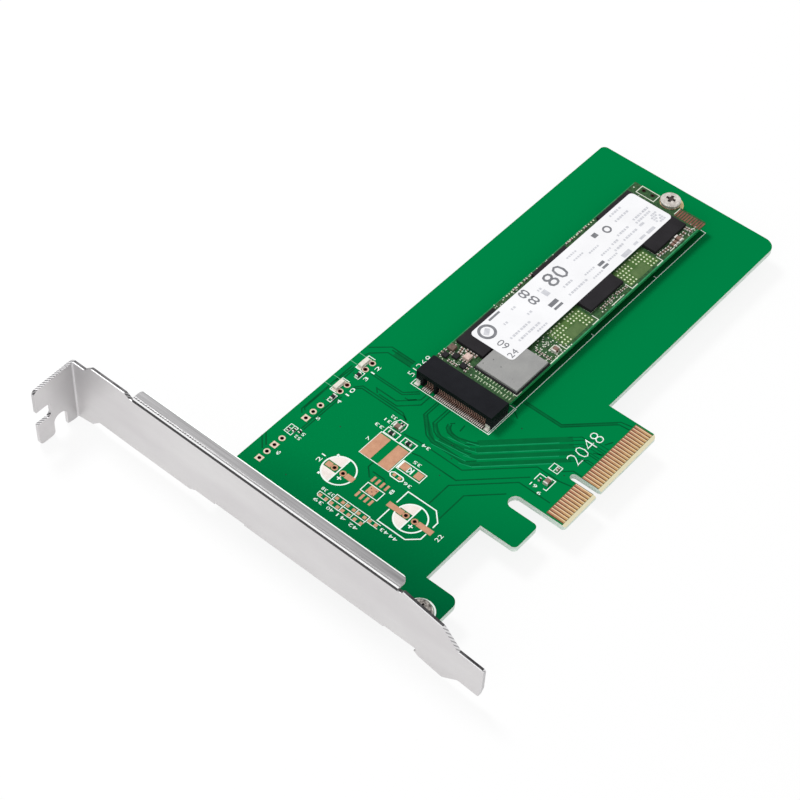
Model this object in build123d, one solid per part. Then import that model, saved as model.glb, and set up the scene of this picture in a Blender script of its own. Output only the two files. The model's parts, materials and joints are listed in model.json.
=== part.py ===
from build123d import *
import os

# Adapter card for one solid-state drive, with the drive fitted.
# Millimetres. While modelling, X runs from the bracket's outer face along the card,
# Y up from the bottom of the contact edge and Z out of the component side.
# The saved frame has its origin at the key notch: its centre line, the bottom of the
# contact edge and the component face.

# Circuit board
board_t = 1.57
board_gap = 0.6               # bracket's inner face to the board's edge
board_right = 151.9
board_top = 67.7
body_bottom = 13.7            # lower edge beyond the contacts
recess_top = 14.3             # lower edge between foot and hook
foot_right, foot_bottom = 14.5, 5.1
hook_left, hook_right, hook_bottom = 33.3, 41.75, 4.6
foot_round, hook_round = 2.2, 1.2
body_low_round, body_top_round = 3.2, 1.5
tongue_round = 1.1

# Contact edge, a four-lane card edge
key_x = 58.05                 # key notch's centre, from the bracket's outer face
key_width, key_depth = 1.9, 7.9
slot_depth = 14.2             # slot beside the hook
short_block, long_block = 11.65, 21.65
bevel_length, bevel_depth = 0.8, 0.4
contact_pitch, contact_width = 1.0, 0.7
contact_first = 1.5           # first contact from the key's centre, on both sides of it
contact_low, contact_high = 0.85, 5.5
short_count, long_count = 11, 21
plate_t = 0.04                # copper, plated or bare

# Bracket, one folded sheet
sheet_t = 0.86
bend_inner = 0.15
tab_y = 107.75                # outer face of the screw tab
tab_length = 12.1
tongue_y = -12.5
face_top = 14.3
flange_top, flange_width, flange_round = 14.4, 3.45, 1.3
flange_low_y, flange_high_y = 11.0, 88.0
ear_y = (9.7, 59.0)
ear_width, ear_length = 9.0, 11.2
ear_bend = 0.3                # outer radius of the ears' tight bend
ear_hole_x, ear_end_round = 6.7, 3.5
tab_top, tab_low = 12.15, -6.85
tab_slot_low, tab_slot_high, tab_slot_depth = 0.6, 4.9, 4.25
tab_notch_x, tab_notch_width, tab_notch_top = -5.35, 4.0, -0.9
neck_length, neck_slope = 4.45, 2.4     # beside the tab, component side
neck_low, neck_low_length = -3.5, 7.95  # beside the tab, solder side
face_low, shoulder_low = -2.65, -3.65
shoulder_y = (71.2, 88.0)
relief_length, relief_depth = 1.4, 0.2  # at the flange's lower end
tongue_top, tongue_low = 6.6, -3.15
hip_y, hip_top = (-5.75, -1.2), (7.2, 12.0)
hip_low, hip_step_low = -5.55, -4.25

# Screws
bracket_screw_r, bracket_head_r, bracket_head_h = 1.5, 2.6, 1.5
screw_tail = 0.8
drive_screw_r, drive_head_r, drive_head_h = 1.0, 2.65, 1.1
cross_width, cross_length, cross_depth = 0.5, 2.6, 0.55
thread_gap = 0.05
hole_gap = 0.15
head_edge = 0.35

# Drive
drive_mid = 40.77
drive_width, drive_t = 22.0, 0.8
drive_end = 143.06            # end at the standoff
drive_shoulder = 63.0         # where the board steps in to the socket's tongue
drive_tongue_width, drive_tongue = 19.85, 4.0
drive_low = 2.6               # underside above the card
drive_key_offset, drive_key_width, drive_key_depth = 6.125, 1.2, 3.5
half_hole_r, ground_ring_r = 1.75, 2.75
drive_contact_w, drive_contact_end, drive_contact_length = 0.3, 0.3, 2.2
end_hole_r, end_hole_back, end_hole_side, end_hole_pitch = 0.42, 1.2, 6.03, 2.7

# Packages on the drive. A place runs along the drive and to the side of its middle
# line. Near places start at the shoulder, middle ones halfway to the drive's end and
# far ones at that end. Sizes are along and across the drive.
package_h, package_edge = 1.0, 0.08
controller_place, controller_size = (9.5, -4.37), (12.9, 12.8)
controller_base_h, controller_rim = 0.35, 0.4
buffer_place, buffer_size = (13.5, 6.13), (13.8, 8.0)
middle_flash, far_flash, flash_size = (2.17, 1.08), (-11.26, 1.08), (13.2, 18.1)
label_side, label_width = 2.48, 12.9
label_near, label_far = 10.0, 4.86       # label's ends, from the shoulder and the end
label_t, label_round = 0.1, 1.2
inductor_places, inductor_size = ((4.3, 9.53), (4.4, 4.93)), (1.8, 1.7)
inductor_h = 0.9
regulator_places, regulator_size = ((1.6, 9.43), (2.9, 7.23), (1.7, 4.03)), (1.5, 1.5)
regulator_h = 0.6
strip_place, strip_size, strip_pitch, strip_count = (-1.96, -7.27), (2.8, 0.42), 0.72, 11

# Socket
socket_width, socket_top = 22.2, 4.2
socket_rear, socket_front = 56.1, 62.7
roof_low = 2.9                # underside of the roof over the rear contacts
rear_wall = 57.3
card_gap = 0.1
sill_front = 61.6
lead_in = 0.5
pin_reach = 0.9               # solder feet beyond the housing
front_pin_drop = 0.3          # front risers' ends below the slot
solder_tab_w, solder_tab_t, solder_tab_top, solder_tab_inset = 1.3, 0.2, 1.4, 0.75
pin_pitch, pin_width, pin_t = 0.5, 0.2, 0.15
rear_first, rear_count = (6.38, -9.17), (5, 29)       # first pins from the middle line
front_first, front_count = (6.13, -8.92), (5, 28)
recesses = ((5.78, 8.98), (-9.62, 5.18))
peg_x, peg_spacing, peg_r, peg_length = 60.2, 19.0, 0.6, 1.3

# Standoff
standoff_r, standoff_neck_r = 3.5, 1.55
drive_screw_tail = -1.0

# Holes with plated rings: header rows, lights and capacitors
small_sides, pad_sides = 12, 24
ring_hole_r, ring_r = 0.48, 0.85
header_y, header_pitch = 63.6, 2.54
long_header_x, short_header_x = 18.7, 33.2
light_y = 63.1
light_x = (43.27, 52.33)
round_cap, big_cap = (24.05, 47.8), (24.4, 27.1)
pad_ring_r = 3.0
cap_strip_w = 1.5
cap_strips = ((round_cap, 3.6, 4.4), (big_cap, 6.5, 6.3))

# Bare pads of the inductor, the diode and the regulator: sizes along X and Y
coil_middle, coil_pad, coil_pitch = (35.0, 43.7), (7.4, 3.15), 5.35
diode_middle, diode_pad, diode_pitch = (34.85, 35.35), (2.0, 1.9), 4.1
driver_middle, driver_pad, driver_pitch = (24.65, 38.4), (1.7, 0.62), 1.3
driver_reach, driver_middle_pad = 2.75, 2.3

# Rows of bare two-pad footprints: row's X, then the middle of each pair along Y
small_pad_rows = ((16.07, (45.47, 42.1, 38.88, 35.28)), (17.87, (42.0, 38.83, 35.72, 32.5)))
small_pad_pitch, small_pad_size = 1.78, 0.85
fuse_middle, fuse_pad, fuse_pitch = (31.5, 36.95), 0.8, 1.5

# Lights: behind each pair of light holes
light_size, light_h, light_back = (3.2, 1.2), 0.7, 1.45

# Fitted small parts on the card
input_capacitor, edge_capacitor, edge_small_capacitor = (42.6, 46.0), (52.85, 10.6), (57.3, 11.0)
feedback_resistors = (40.2, 45.85), (40.3, 40.9)
bleed_resistor, edge_resistor = (43.9, 45.6), (52.2, 12.3)
light_resistor_back = 3.85
cluster_first, cluster_step = (25.4, 64.2), (0.6, -1.2)

# Chip sizes: length, width, height and terminal
large_chip = (2.0, 1.25, 0.8, 0.4)
medium_chip = (1.6, 0.8, 0.6, 0.3)
small_chip = (1.0, 0.5, 0.4, 0.22)
tiny_chip = (0.7, 0.38, 0.3, 0.16)
end_swell = 0.03              # terminals beyond the ceramic, all round

os.makedirs("parts", exist_ok=True)


# Helpers
def block(x, y, z):
    """Box between the low and high value of each axis."""
    middle = [(low + high) / 2 for low, high in (x, y, z)]
    size = [high - low for low, high in (x, y, z)]
    return Pos(*middle) * Box(*size)


def around(middle, size):
    """Low and high value of a span about its middle."""
    return middle - size / 2, middle + size / 2


def outline(corners):
    """Closed face through (x, y, corner radius) points."""
    points = [(x, y) for x, y, _ in corners]
    radii = [radius for _, _, radius in corners]
    return make_face(FilletPolyline(*points, radius=radii, close=True))


def post(x, y, radius, z):
    """Upright cylinder between two heights."""
    low, high = z
    return Pos(x, y, (low + high) / 2) * Cylinder(radius, high - low)


def drilled(x, y, radius, z, sides=small_sides):
    """Small hole, peg or plated ring, with few sides to keep the mesh light."""
    low, high = z
    return Pos(x, y, low) * extrude(RegularPolygon(radius, sides), high - low)


def save(name, *pieces):
    """Write one node: every solid of its pieces, moved to the saved frame."""
    solids = [solid for piece in pieces for solid in piece.solids()]
    shape = solids[0] if len(solids) == 1 else Compound(solids)
    export_step(Pos(-key_x, 0, 0) * shape, f"parts/{name}.step")


# Values that follow from the driving dimensions
board_left = sheet_t + board_gap
short_left = key_x - key_width / 2 - short_block
long_right = key_x + key_width / 2 + long_block
ear_top = -board_t
ear_low = ear_top - sheet_t
outer_bend = bend_inner + sheet_t
drive_top = drive_low + drive_t
package_top = drive_top + package_h
drive_edge = drive_shoulder - drive_tongue
drive_key = drive_mid + drive_key_offset
drive_side = around(drive_mid, drive_width)
socket_side = around(drive_mid, socket_width)
through = (-board_t - 1, 1)


def in_row(middle, pitch, count):
    """Positions of a row about its middle."""
    return [middle + (i - (count - 1) / 2) * pitch for i in range(count)]


def near(run, side):
    """Place on the drive, from its shoulder at the socket."""
    return drive_shoulder + run, drive_mid + side


def halfway(run, side):
    """Place on the drive, from halfway between shoulder and end."""
    return (drive_shoulder + drive_end) / 2 + run, drive_mid + side


def far(run, side):
    """Place on the drive, from its end at the standoff."""
    return drive_end + run, drive_mid + side


header_holes = [(x, header_y) for x in in_row(long_header_x, header_pitch, 4)]
header_holes += [(x, header_y) for x in in_row(short_header_x, header_pitch, 3)]
light_holes = [(x, light_y) for middle in light_x for x in in_row(middle, header_pitch, 2)]
cap_holes = [(x, y) for x, mid in (round_cap, big_cap) for y in in_row(mid, header_pitch, 2)]
ringed_holes = header_holes + light_holes + cap_holes
square_pads = (header_holes[0], header_holes[2], header_holes[4])
rear_groups = tuple(zip(rear_first, rear_count))
front_groups = tuple(zip(front_first, front_count))
peg_places = [(peg_x, y) for y in in_row(drive_mid, peg_spacing, 2)]
ear_places = [(ear_hole_x, y) for y in ear_y]


# Circuit board
def circuit_board():
    corners = [
        (board_left, foot_bottom, 0),
        (foot_right, foot_bottom, foot_round),
        (foot_right, recess_top, 0),
        (hook_left, recess_top, 0),
        (hook_left, hook_bottom, hook_round),
        (hook_right, hook_bottom, hook_round),
        (hook_right, slot_depth, (short_left - hook_right) / 2 - 0.02),
        (short_left, slot_depth, (short_left - hook_right) / 2 - 0.02),
        (short_left, 0, 0.5),
        (key_x - key_width / 2, 0, 0),
        (key_x - key_width / 2, key_depth, key_width / 2 - 0.02),
        (key_x + key_width / 2, key_depth, key_width / 2 - 0.02),
        (key_x + key_width / 2, 0, 0),
        (long_right, 0, tongue_round),
        (long_right, body_bottom, 0),
        (board_right, body_bottom, body_low_round),
        (board_right, board_top, body_top_round),
        (board_left, board_top, 0),
    ]
    board = Pos(0, 0, -board_t) * extrude(outline(corners), board_t)
    upper = [(bevel_length, 0, 0), (0, -bevel_depth, 0), (-1, -bevel_depth, 0)]
    upper += [(-1, 1, 0), (bevel_length, 1, 0)]
    lower = [(y, -board_t - z, 0) for y, z, _ in upper]
    bevels = [
        Pos(short_left - 1, 0, 0) * extrude(Plane.YZ * outline(side), long_right - short_left + 2)
        for side in (upper, lower)
    ]
    holes = [drilled(x, y, ring_hole_r, through) for x, y in ringed_holes]
    holes += [post(x, y, bracket_screw_r + hole_gap, through) for x, y in ear_places]
    holes += [drilled(x, y, peg_r + hole_gap, through) for x, y in peg_places]
    holes.append(post(drive_end, drive_mid, standoff_neck_r + thread_gap, through))
    return board - bevels - holes


def edge_contacts(z):
    """One plated strip for each contact, on the face that z spans."""
    short_row = [key_x - contact_first - i * contact_pitch for i in range(short_count)]
    long_row = [key_x + contact_first + i * contact_pitch for i in range(long_count)]
    return [
        block(around(x, contact_width), (contact_low, contact_high), z)
        for x in short_row + long_row
    ]


# Bracket
def angle_section(corner, leg_a, leg_b, bend):
    """Section of the folded sheet: outer corner, two legs as runs from there, outer bend."""
    c, a, b = Vector(*corner), Vector(*leg_a), Vector(*leg_b)
    wall_a, wall_b = a.normalized() * sheet_t, b.normalized() * sheet_t
    points = [c, c + a, c + a + wall_b, c + wall_a + wall_b, c + b + wall_a, c + b]
    corners = [(p.X, p.Y, 0) for p in points]
    corners[0] = (c.X, c.Y, bend)
    corners[3] = (points[3].X, points[3].Y, bend_inner)
    return outline(corners)


def face_outline():
    """Long face seen along X: the tab's end, the neck, the fold and the slot tongue."""
    fold = flange_top - outer_bend
    beyond = tab_y + sheet_t
    neck = tab_y - neck_length
    low_neck = tab_y - neck_low_length
    corners = [
        (beyond, tab_top, 0),
        (neck, tab_top, 0.8),
        (neck - neck_slope, face_top, 0.8),
        (flange_high_y + neck_slope, face_top, 0.4),
        (flange_high_y + sheet_t, fold, 0),
        (flange_low_y - sheet_t, fold, 0),
        (flange_low_y - relief_length, face_top - relief_depth, 0),
        (hip_y[1], hip_top[1], 1.0),
        (hip_y[0], hip_top[0], 0.6),
        (tongue_y, tongue_top, 0.8),
        (tongue_y, 0, 1.5),
        (tongue_y + 0.6, tongue_low, 0.6),
        (hip_y[0] - 0.5, tongue_low + 0.5, 1.5),
        (hip_y[1] - 1.0, hip_low, 1.5),
        (ear_y[0] - ear_width / 2 - 0.8, hip_step_low, 1.2),
        (ear_y[0] - ear_width / 2 + 1.3, face_low, 1.2),
        (shoulder_y[0] - 1.8, face_low, 0),
        (shoulder_y[0], shoulder_low, 0),
        (shoulder_y[1], shoulder_low, 0),
        (low_neck, neck_low, 1.2),
        (low_neck + neck_slope, neck_low - 2.3, 1.5),
        (beyond, tab_low, 0),
    ]
    return outline(corners)


def tab_outline():
    """Screw tab seen along Y: its top corner, the screw slot and the locating notch."""
    end = -tab_length
    slot_end = end + tab_slot_depth
    notch_left, notch_right = around(tab_notch_x, tab_notch_width)
    past = flange_top + tab_length
    corners = [
        (past, past, 0),
        (0, past, 0),
        (0, tab_top, 0),
        (end, tab_top - 0.4, 1.4),
        (end, tab_slot_high, 0),
        (slot_end, tab_slot_high, 1.2),
        (slot_end, tab_slot_low, 1.2),
        (end, tab_slot_low, 0),
        (end, tab_low + 0.35, 1.3),
        (notch_left, tab_low + 0.35, 1.0),
        (notch_left, tab_notch_top, 1.9),
        (notch_right, tab_notch_top, 1.9),
        (notch_right, tab_low + 0.6, 0),
        (0, tab_low, 0),
        (0, 2 * tab_low, 0),
        (past, 2 * tab_low, 0),
    ]
    return outline(corners)


def bracket():
    length = tab_y - tongue_y + sheet_t
    depth = 2 * flange_top
    face_and_tab = angle_section(
        (sheet_t, tab_y), (-tab_length - sheet_t, 0), (0, -length), outer_bend
    )
    blank = Pos(0, 0, -depth / 2) * extrude(face_and_tab, 1.5 * depth)
    reach = 2 * tab_length
    face_cut = Pos(-reach, 0, 0) * extrude(Plane.YZ * face_outline(), 2 * reach)
    tab_cut = Pos(0, tab_y + sheet_t, 0) * extrude(Plane.XZ * tab_outline(), length + sheet_t)
    body = blank & face_cut & tab_cut

    fold_leg = flange_width - outer_bend
    flange = angle_section((0, flange_top), (flange_width, 0), (0, -fold_leg), outer_bend)
    flange = extrude(Plane.XZ * flange, flange_high_y - flange_low_y)
    flange = Pos(0, flange_high_y, 0) * flange
    free_corners = flange.edges().filter_by(Axis.Z).group_by(Axis.X)[-1]
    body += fillet(free_corners, flange_round)

    for y in ear_y:
        low, high = around(y, ear_width)
        body -= block((-sheet_t, sheet_t), (low, high), (ear_low - sheet_t, ear_low + outer_bend))
        ear = angle_section((0, ear_low), (ear_length, 0), (0, fold_leg), ear_bend)
        ear = Pos(0, high, 0) * extrude(Plane.XZ * ear, ear_width)
        ear = fillet(ear.edges().filter_by(Axis.Z).group_by(Axis.X)[-1], ear_end_round)
        body += ear
    for x, y in ear_places:
        body -= post(x, y, bracket_screw_r + thread_gap, (ear_low - sheet_t, ear_top + sheet_t))
    return body


# Screws
def cross_recess(x, y, top):
    arms = (cross_length, cross_width), (cross_width, cross_length)
    depth = (top - cross_depth, top + 1)
    return [block(around(x, along), around(y, across), depth) for along, across in arms]


def pan_screw(x, y, seat, shank_r, head_r, head_h, tail):
    """Head on its seat, cross recess, plain shank down to its tail."""
    head = post(x, y, head_r, (seat, seat + head_h))
    head = chamfer(head.edges().group_by(Axis.Z)[-1], head_edge)
    shank = post(x, y, shank_r, (tail, seat))
    return head + shank - cross_recess(x, y, seat + head_h)


# Standoff
def standoff():
    body = post(drive_end, drive_mid, standoff_r, (0, drive_low))
    body += post(drive_end, drive_mid, standoff_neck_r, (-board_t, 0))
    bore = (-board_t - 1, drive_low + 1)
    return body - post(drive_end, drive_mid, drive_screw_r + thread_gap, bore)


# Socket
def socket_housing():
    slot_low, slot_high = drive_low - card_gap, drive_top + card_gap
    slot_back = drive_edge - card_gap
    length = socket_side[1] - socket_side[0]
    body = block((socket_rear, socket_front), socket_side, (0, socket_top))
    for recess in recesses:
        side = [drive_mid + edge for edge in recess]
        body -= block((socket_rear - 1, rear_wall), side, (-1, roof_low))
    slot_side = around(drive_mid, drive_tongue_width + 2 * card_gap)
    slot = block((slot_back, socket_front + 1), slot_side, (slot_low, slot_high))
    key_side = around(drive_key, drive_key_width - 2 * card_gap)
    key = block((slot_back, sill_front), key_side, (slot_low, slot_high))
    sill = block((sill_front, socket_front + 1), slot_side, (-1, slot_low))
    lead = Rot(0, 45, 0) * Box(lead_in, length + 1, lead_in)
    lead = Pos(socket_front, drive_mid, socket_top) * lead
    body = body - slot - sill - lead + key
    return body + [drilled(x, y, peg_r, (-peg_length, 0)) for x, y in peg_places]


def pin_rows(groups, foot, riser, top):
    """Bent solder pins: a foot on the board and a riser into the housing."""
    low = plate_t
    corners = [(foot, low, 0), (riser, low, 0), (riser, top, 0)]
    side = pin_t if riser < foot else -pin_t
    corners += [(riser + side, top, 0), (riser + side, low + pin_t, 0), (foot, low + pin_t, 0)]
    section = outline(corners)
    pins = []
    for first, count in groups:
        for i in range(count):
            y = drive_mid + first + i * pin_pitch + pin_width / 2
            pins.append(Pos(0, y, 0) * extrude(Plane.XZ * section, pin_width))
    return pins


def solder_tabs():
    tabs = []
    for y in (socket_side[0] + solder_tab_inset, socket_side[1] - solder_tab_inset):
        side = around(y, solder_tab_w)
        foot = (socket_rear - pin_reach, socket_rear)
        foot = block(foot, side, (plate_t, plate_t + solder_tab_t))
        riser = (socket_rear - solder_tab_t, socket_rear)
        tabs.append(foot + block(riser, side, (plate_t, solder_tab_top)))
    return tabs


# Drive
def drive_board():
    low, high = drive_side
    tongue_low, tongue_high = around(drive_mid, drive_tongue_width)
    key_low, key_high = around(drive_key, drive_key_width)
    key_round = drive_key_width / 2 - 0.02
    corners = [
        (drive_edge, tongue_low, 0),
        (drive_shoulder, tongue_low, 0),
        (drive_shoulder, low, 0),
        (drive_end, low, 0.3),
        (drive_end, high, 0.3),
        (drive_shoulder, high, 0),
        (drive_shoulder, tongue_high, 0),
        (drive_edge, tongue_high, 0),
        (drive_edge, key_high, 0),
        (drive_edge + drive_key_depth, key_high, key_round),
        (drive_edge + drive_key_depth, key_low, key_round),
        (drive_edge, key_low, 0),
    ]
    board = Pos(0, 0, drive_low) * extrude(outline(corners), drive_t)
    cut = (drive_low - 1, drive_top + 1)
    x, y = far(-end_hole_back, end_hole_side)
    holes = [drilled(x, hole_y, end_hole_r, cut) for hole_y in in_row(y, end_hole_pitch, 2)]
    return board - post(drive_end, drive_mid, half_hole_r, cut) - holes


def on_drive_plate(x, y):
    return block(x, y, (drive_top, drive_top + plate_t))


def drive_contacts():
    start = drive_edge + drive_contact_end
    clear = (drive_key_width + drive_contact_w) / 2 + hole_gap
    pads = []
    for first, count in rear_groups:
        for i in range(count):
            y = drive_mid + first + i * pin_pitch
            on_tongue = abs(y - drive_mid) + drive_contact_w < drive_tongue_width / 2
            if on_tongue and abs(y - drive_key) > clear:
                span = (start, start + drive_contact_length)
                pads.append(on_drive_plate(span, around(y, drive_contact_w)))
    return pads


def ground_ring():
    span = (drive_top, drive_top + plate_t)
    ring = drilled(drive_end, drive_mid, ground_ring_r, span, pad_sides)
    ring -= drilled(drive_end, drive_mid, half_hole_r, (drive_top - 1, drive_top + 1), pad_sides)
    half = (drive_end - 2 * ground_ring_r, drive_end)
    return ring & block(half, around(drive_mid, 3 * ground_ring_r), (drive_top, package_top))


def contact_strip():
    """Plated test strips beside the drive's screw."""
    x, y = far(*strip_place)
    length, width = strip_size
    rows = in_row(y, strip_pitch, strip_count)
    return [on_drive_plate(around(x, length), around(row, width)) for row in rows]


def package(place, size, low, high):
    """Moulded package with slightly eased upper edges."""
    x, y = place
    body = block(around(x, size[0]), around(y, size[1]), (low, high))
    return chamfer(body.edges().group_by(Axis.Z)[-1], package_edge)


def packages(places, size, height):
    return [package(place, size, drive_top, drive_top + height) for place in places]


def controller():
    """Package base and the smaller metal lid on it."""
    place = near(*controller_place)
    split = drive_top + controller_base_h
    lid_size = [side - 2 * controller_rim for side in controller_size]
    base = package(place, controller_size, drive_top, split)
    return base, package(place, lid_size, split, package_top)


def drive_label():
    left, right = drive_shoulder + label_near, drive_end - label_far
    low, high = around(drive_mid + label_side, label_width)
    corners = [(left, low), (right, low), (right, high), (left, high)]
    film = outline([(x, y, label_round) for x, y in corners])
    return Pos(0, 0, package_top) * extrude(film, label_t)


# Bare footprints of the card
def flat(x, y):
    return block(x, y, (0, plate_t))


def hole_rings():
    rings = []
    for x, y in ringed_holes:
        if (x, y) in square_pads:
            ring = flat(around(x, 2 * ring_r), around(y, 2 * ring_r))
        else:
            ring = drilled(x, y, ring_r, (0, plate_t))
        rings.append(ring - drilled(x, y, ring_hole_r, through))
    return rings


def screw_pads():
    pads = []
    for x, y in ear_places:
        pad = drilled(x, y, pad_ring_r, (0, plate_t), pad_sides)
        pads.append(pad - drilled(x, y, bracket_screw_r + hole_gap, through, pad_sides))
    return pads


def capacitor_strips():
    strips = []
    for (x, y), above, below in cap_strips:
        reach = header_pitch / 2 + ring_r
        strips.append(flat(around(x, cap_strip_w), (y + reach, y + above)))
        strips.append(flat(around(x, cap_strip_w), (y - below, y - reach)))
    return strips


def pads_along_y(middle, size, pitch, count=2):
    x, y = middle
    return [flat(around(x, size[0]), around(row, size[1])) for row in in_row(y, pitch, count)]


def regulator_pads():
    x, y = driver_middle
    pads = [flat(around(x, driver_middle_pad), around(y, driver_middle_pad))]
    for row in in_row(x, 2 * driver_reach, 2):
        pads += pads_along_y((row, y), driver_pad, driver_pitch, 4)
    return pads


def small_pads():
    pads = pads_along_y(fuse_middle, (fuse_pad, fuse_pad), fuse_pitch)
    for x, middles in small_pad_rows:
        for y in middles:
            pads += pads_along_y((x, y), (small_pad_size, small_pad_size), small_pad_pitch)
    return pads


# Small fitted parts
def chip_part(x, y, size, seat, turned):
    """Ceramic body and its two metal ends; turned lays it along Y."""
    length, width, height, end = size
    place = Pos(x, y, seat + height / 2) * Rot(0, 0, 90 if turned else 0)
    body = Box(length - 2 * end, width - 2 * end_swell, height - end_swell)
    body = place * Pos(0, 0, -end_swell / 2) * body
    ends = [
        place * Pos(side * (length - end) / 2, 0, 0) * Box(end, width, height)
        for side in (-1, 1)
    ]
    return body, ends


def chip_row(first, step, count, size, seat, turned):
    """A row of like chips: bodies in one list, ends in another."""
    bodies, ends = [], []
    for i in range(count):
        x, y = first[0] + i * step[0], first[1] + i * step[1]
        body, pair = chip_part(x, y, size, seat, turned)
        bodies.append(body)
        ends += pair
    return bodies, ends


def save_chips(name, ends_name, seat, rows):
    bodies, ends = [], []
    for first, step, count, size, turned in rows:
        more_bodies, more_ends = chip_row(first, step, count, size, seat, turned)
        bodies += more_bodies
        ends += more_ends
    save(name, *bodies)
    save(ends_name, *ends)


def status_lights():
    lights = []
    for x in light_x:
        span = around(x, light_size[0]), around(light_y + light_back, light_size[1])
        body = block(*span, (0, light_h))
        lights.append(chamfer(body.edges().group_by(Axis.Z)[-1], package_edge))
    return lights


# Nodes
save("circuit_board", circuit_board())
save("edge_contacts_front", *edge_contacts((0, plate_t)))
save("edge_contacts_back", *edge_contacts((-board_t - plate_t, -board_t)))
save("bracket", bracket())
bracket_tail = ear_low - screw_tail
save("bracket_screws", *[
    pan_screw(x, y, plate_t, bracket_screw_r, bracket_head_r, bracket_head_h, bracket_tail)
    for x, y in ear_places
])
save("screw_pads", *screw_pads())
save("hole_rings", *hole_rings())
save("socket_housing", socket_housing())
save("socket_pins_rear", *pin_rows(rear_groups, socket_rear - pin_reach, rear_wall, roof_low))
front_top = drive_low - card_gap - front_pin_drop
save("socket_pins_front", *pin_rows(front_groups, socket_front + pin_reach, sill_front, front_top))
save("socket_solder_tabs", *solder_tabs())
save("standoff", standoff())
drive_screw_seat = drive_top + plate_t
save("standoff_screw", pan_screw(
    drive_end, drive_mid, drive_screw_seat,
    drive_screw_r, drive_head_r, drive_head_h, drive_screw_tail,
))
save("drive_board", drive_board())
save("drive_edge_contacts", *drive_contacts())
save("drive_ground_ring", ground_ring())
save("drive_contact_strip", *contact_strip())
controller_base, controller_lid = controller()
save("drive_controller_base", controller_base)
save("drive_controller_lid", controller_lid)
save("drive_buffer_memory", *packages((near(*buffer_place),), buffer_size, package_h))
flash_places = (halfway(*middle_flash), far(*far_flash))
save("drive_flash_memory", *packages(flash_places, flash_size, package_h))
save("drive_label", drive_label())
power_places = [near(*place) for place in regulator_places]
save("drive_inductors", *packages([near(*p) for p in inductor_places], inductor_size, inductor_h))
save("drive_power_chips", *packages(power_places, regulator_size, regulator_h))
save("inductor_pads", *pads_along_y(coil_middle, coil_pad, coil_pitch))
save("diode_pads", *pads_along_y(diode_middle, diode_pad, diode_pitch))
save("regulator_pads", *regulator_pads())
save("capacitor_strips", *capacitor_strips())
save("small_part_pads", *small_pads())
save("status_lights", *status_lights())

# Rows of chips on the card: first place, step, count, size, laid along Y
light_step = light_x[1] - light_x[0]
save_chips("chip_capacitors", "chip_capacitor_ends", 0, (
    (input_capacitor, (0, 0), 1, large_chip, True),
    (edge_capacitor, (0, 0), 1, large_chip, False),
    (edge_small_capacitor, (0, 0), 1, small_chip, False),
))
save_chips("chip_resistors", "chip_resistor_ends", 0, (
    (feedback_resistors[0], (0, 0), 1, medium_chip, True),
    (feedback_resistors[1], (0, 0), 1, medium_chip, True),
    (bleed_resistor, (0, 0), 1, small_chip, True),
    (edge_resistor, (0, 0), 1, small_chip, False),
    ((light_x[0] - light_resistor_back, light_y), (light_step, 0), 2, medium_chip, False),
    (cluster_first, cluster_step, 3, small_chip, False),
))

# Rows of chips on the drive, placed as its packages are
drive_rows = [
    (place(*first), step, count, size, turned)
    for place, first, step, count, size, turned in (
        (near, (0.9, 10.53), (1.0, 0), 3, tiny_chip, True),
        (near, (2.96, 9.0), (0, -0.7), 2, tiny_chip, False),
        (near, (0.8, 7.83), (0, -0.8), 4, tiny_chip, False),
        (near, (5.9, 7.63), (-0.8, -0.2), 3, small_chip, True),
        (near, (3.0, 5.83), (0, -0.8), 4, tiny_chip, False),
        (near, (6.0, 6.43), (0, -0.9), 4, small_chip, False),
        (near, (0.8, 2.83), (1.0, 0), 3, tiny_chip, True),
        (near, (20.3, -8.87), (0, 0), 1, large_chip, False),
        (near, (17.2, -9.57), (0, 0.78), 6, tiny_chip, False),
        (halfway, (-10.73, 10.48), (2.2, 0), 4, small_chip, False),
        (halfway, (10.57, 10.48), (1.6, 0), 2, small_chip, False),
        (halfway, (15.27, 10.48), (2.6, 0), 2, small_chip, False),
        (halfway, (-1.53, -9.02), (0.93, 0), 6, tiny_chip, True),
        (halfway, (4.77, -8.92), (0.87, -0.07), 5, tiny_chip, True),
        (far, (-17.56, -8.87), (0.98, -0.1), 5, small_chip, True),
        (far, (-12.31, -9.37), (1.15, 0.05), 2, medium_chip, True),
        (far, (-9.76, -9.27), (0, 0), 1, large_chip, True),
        (far, (-8.11, -9.07), (1.15, 0), 2, small_chip, True),
        (far, (-5.36, -8.42), (0.08, -0.68), 3, small_chip, False),
    )
]
save_chips("drive_capacitors", "drive_capacitor_ends", drive_top, drive_rows)
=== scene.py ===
# %% [markdown]
# # A drive adapter card on a pale table
# The card's solids were drawn elsewhere and arrive here packed, each piece already at
# its real place and size. This lesson dresses them: it sets the camera, the light and
# the table, gives every surface a finish made from nodes, and adds the thin things that
# a drawing leaves out, such as print, copper tracks and solder.

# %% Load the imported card
import json
import math
import random

import bmesh
import bpy
from mathutils import Matrix, Vector


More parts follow.
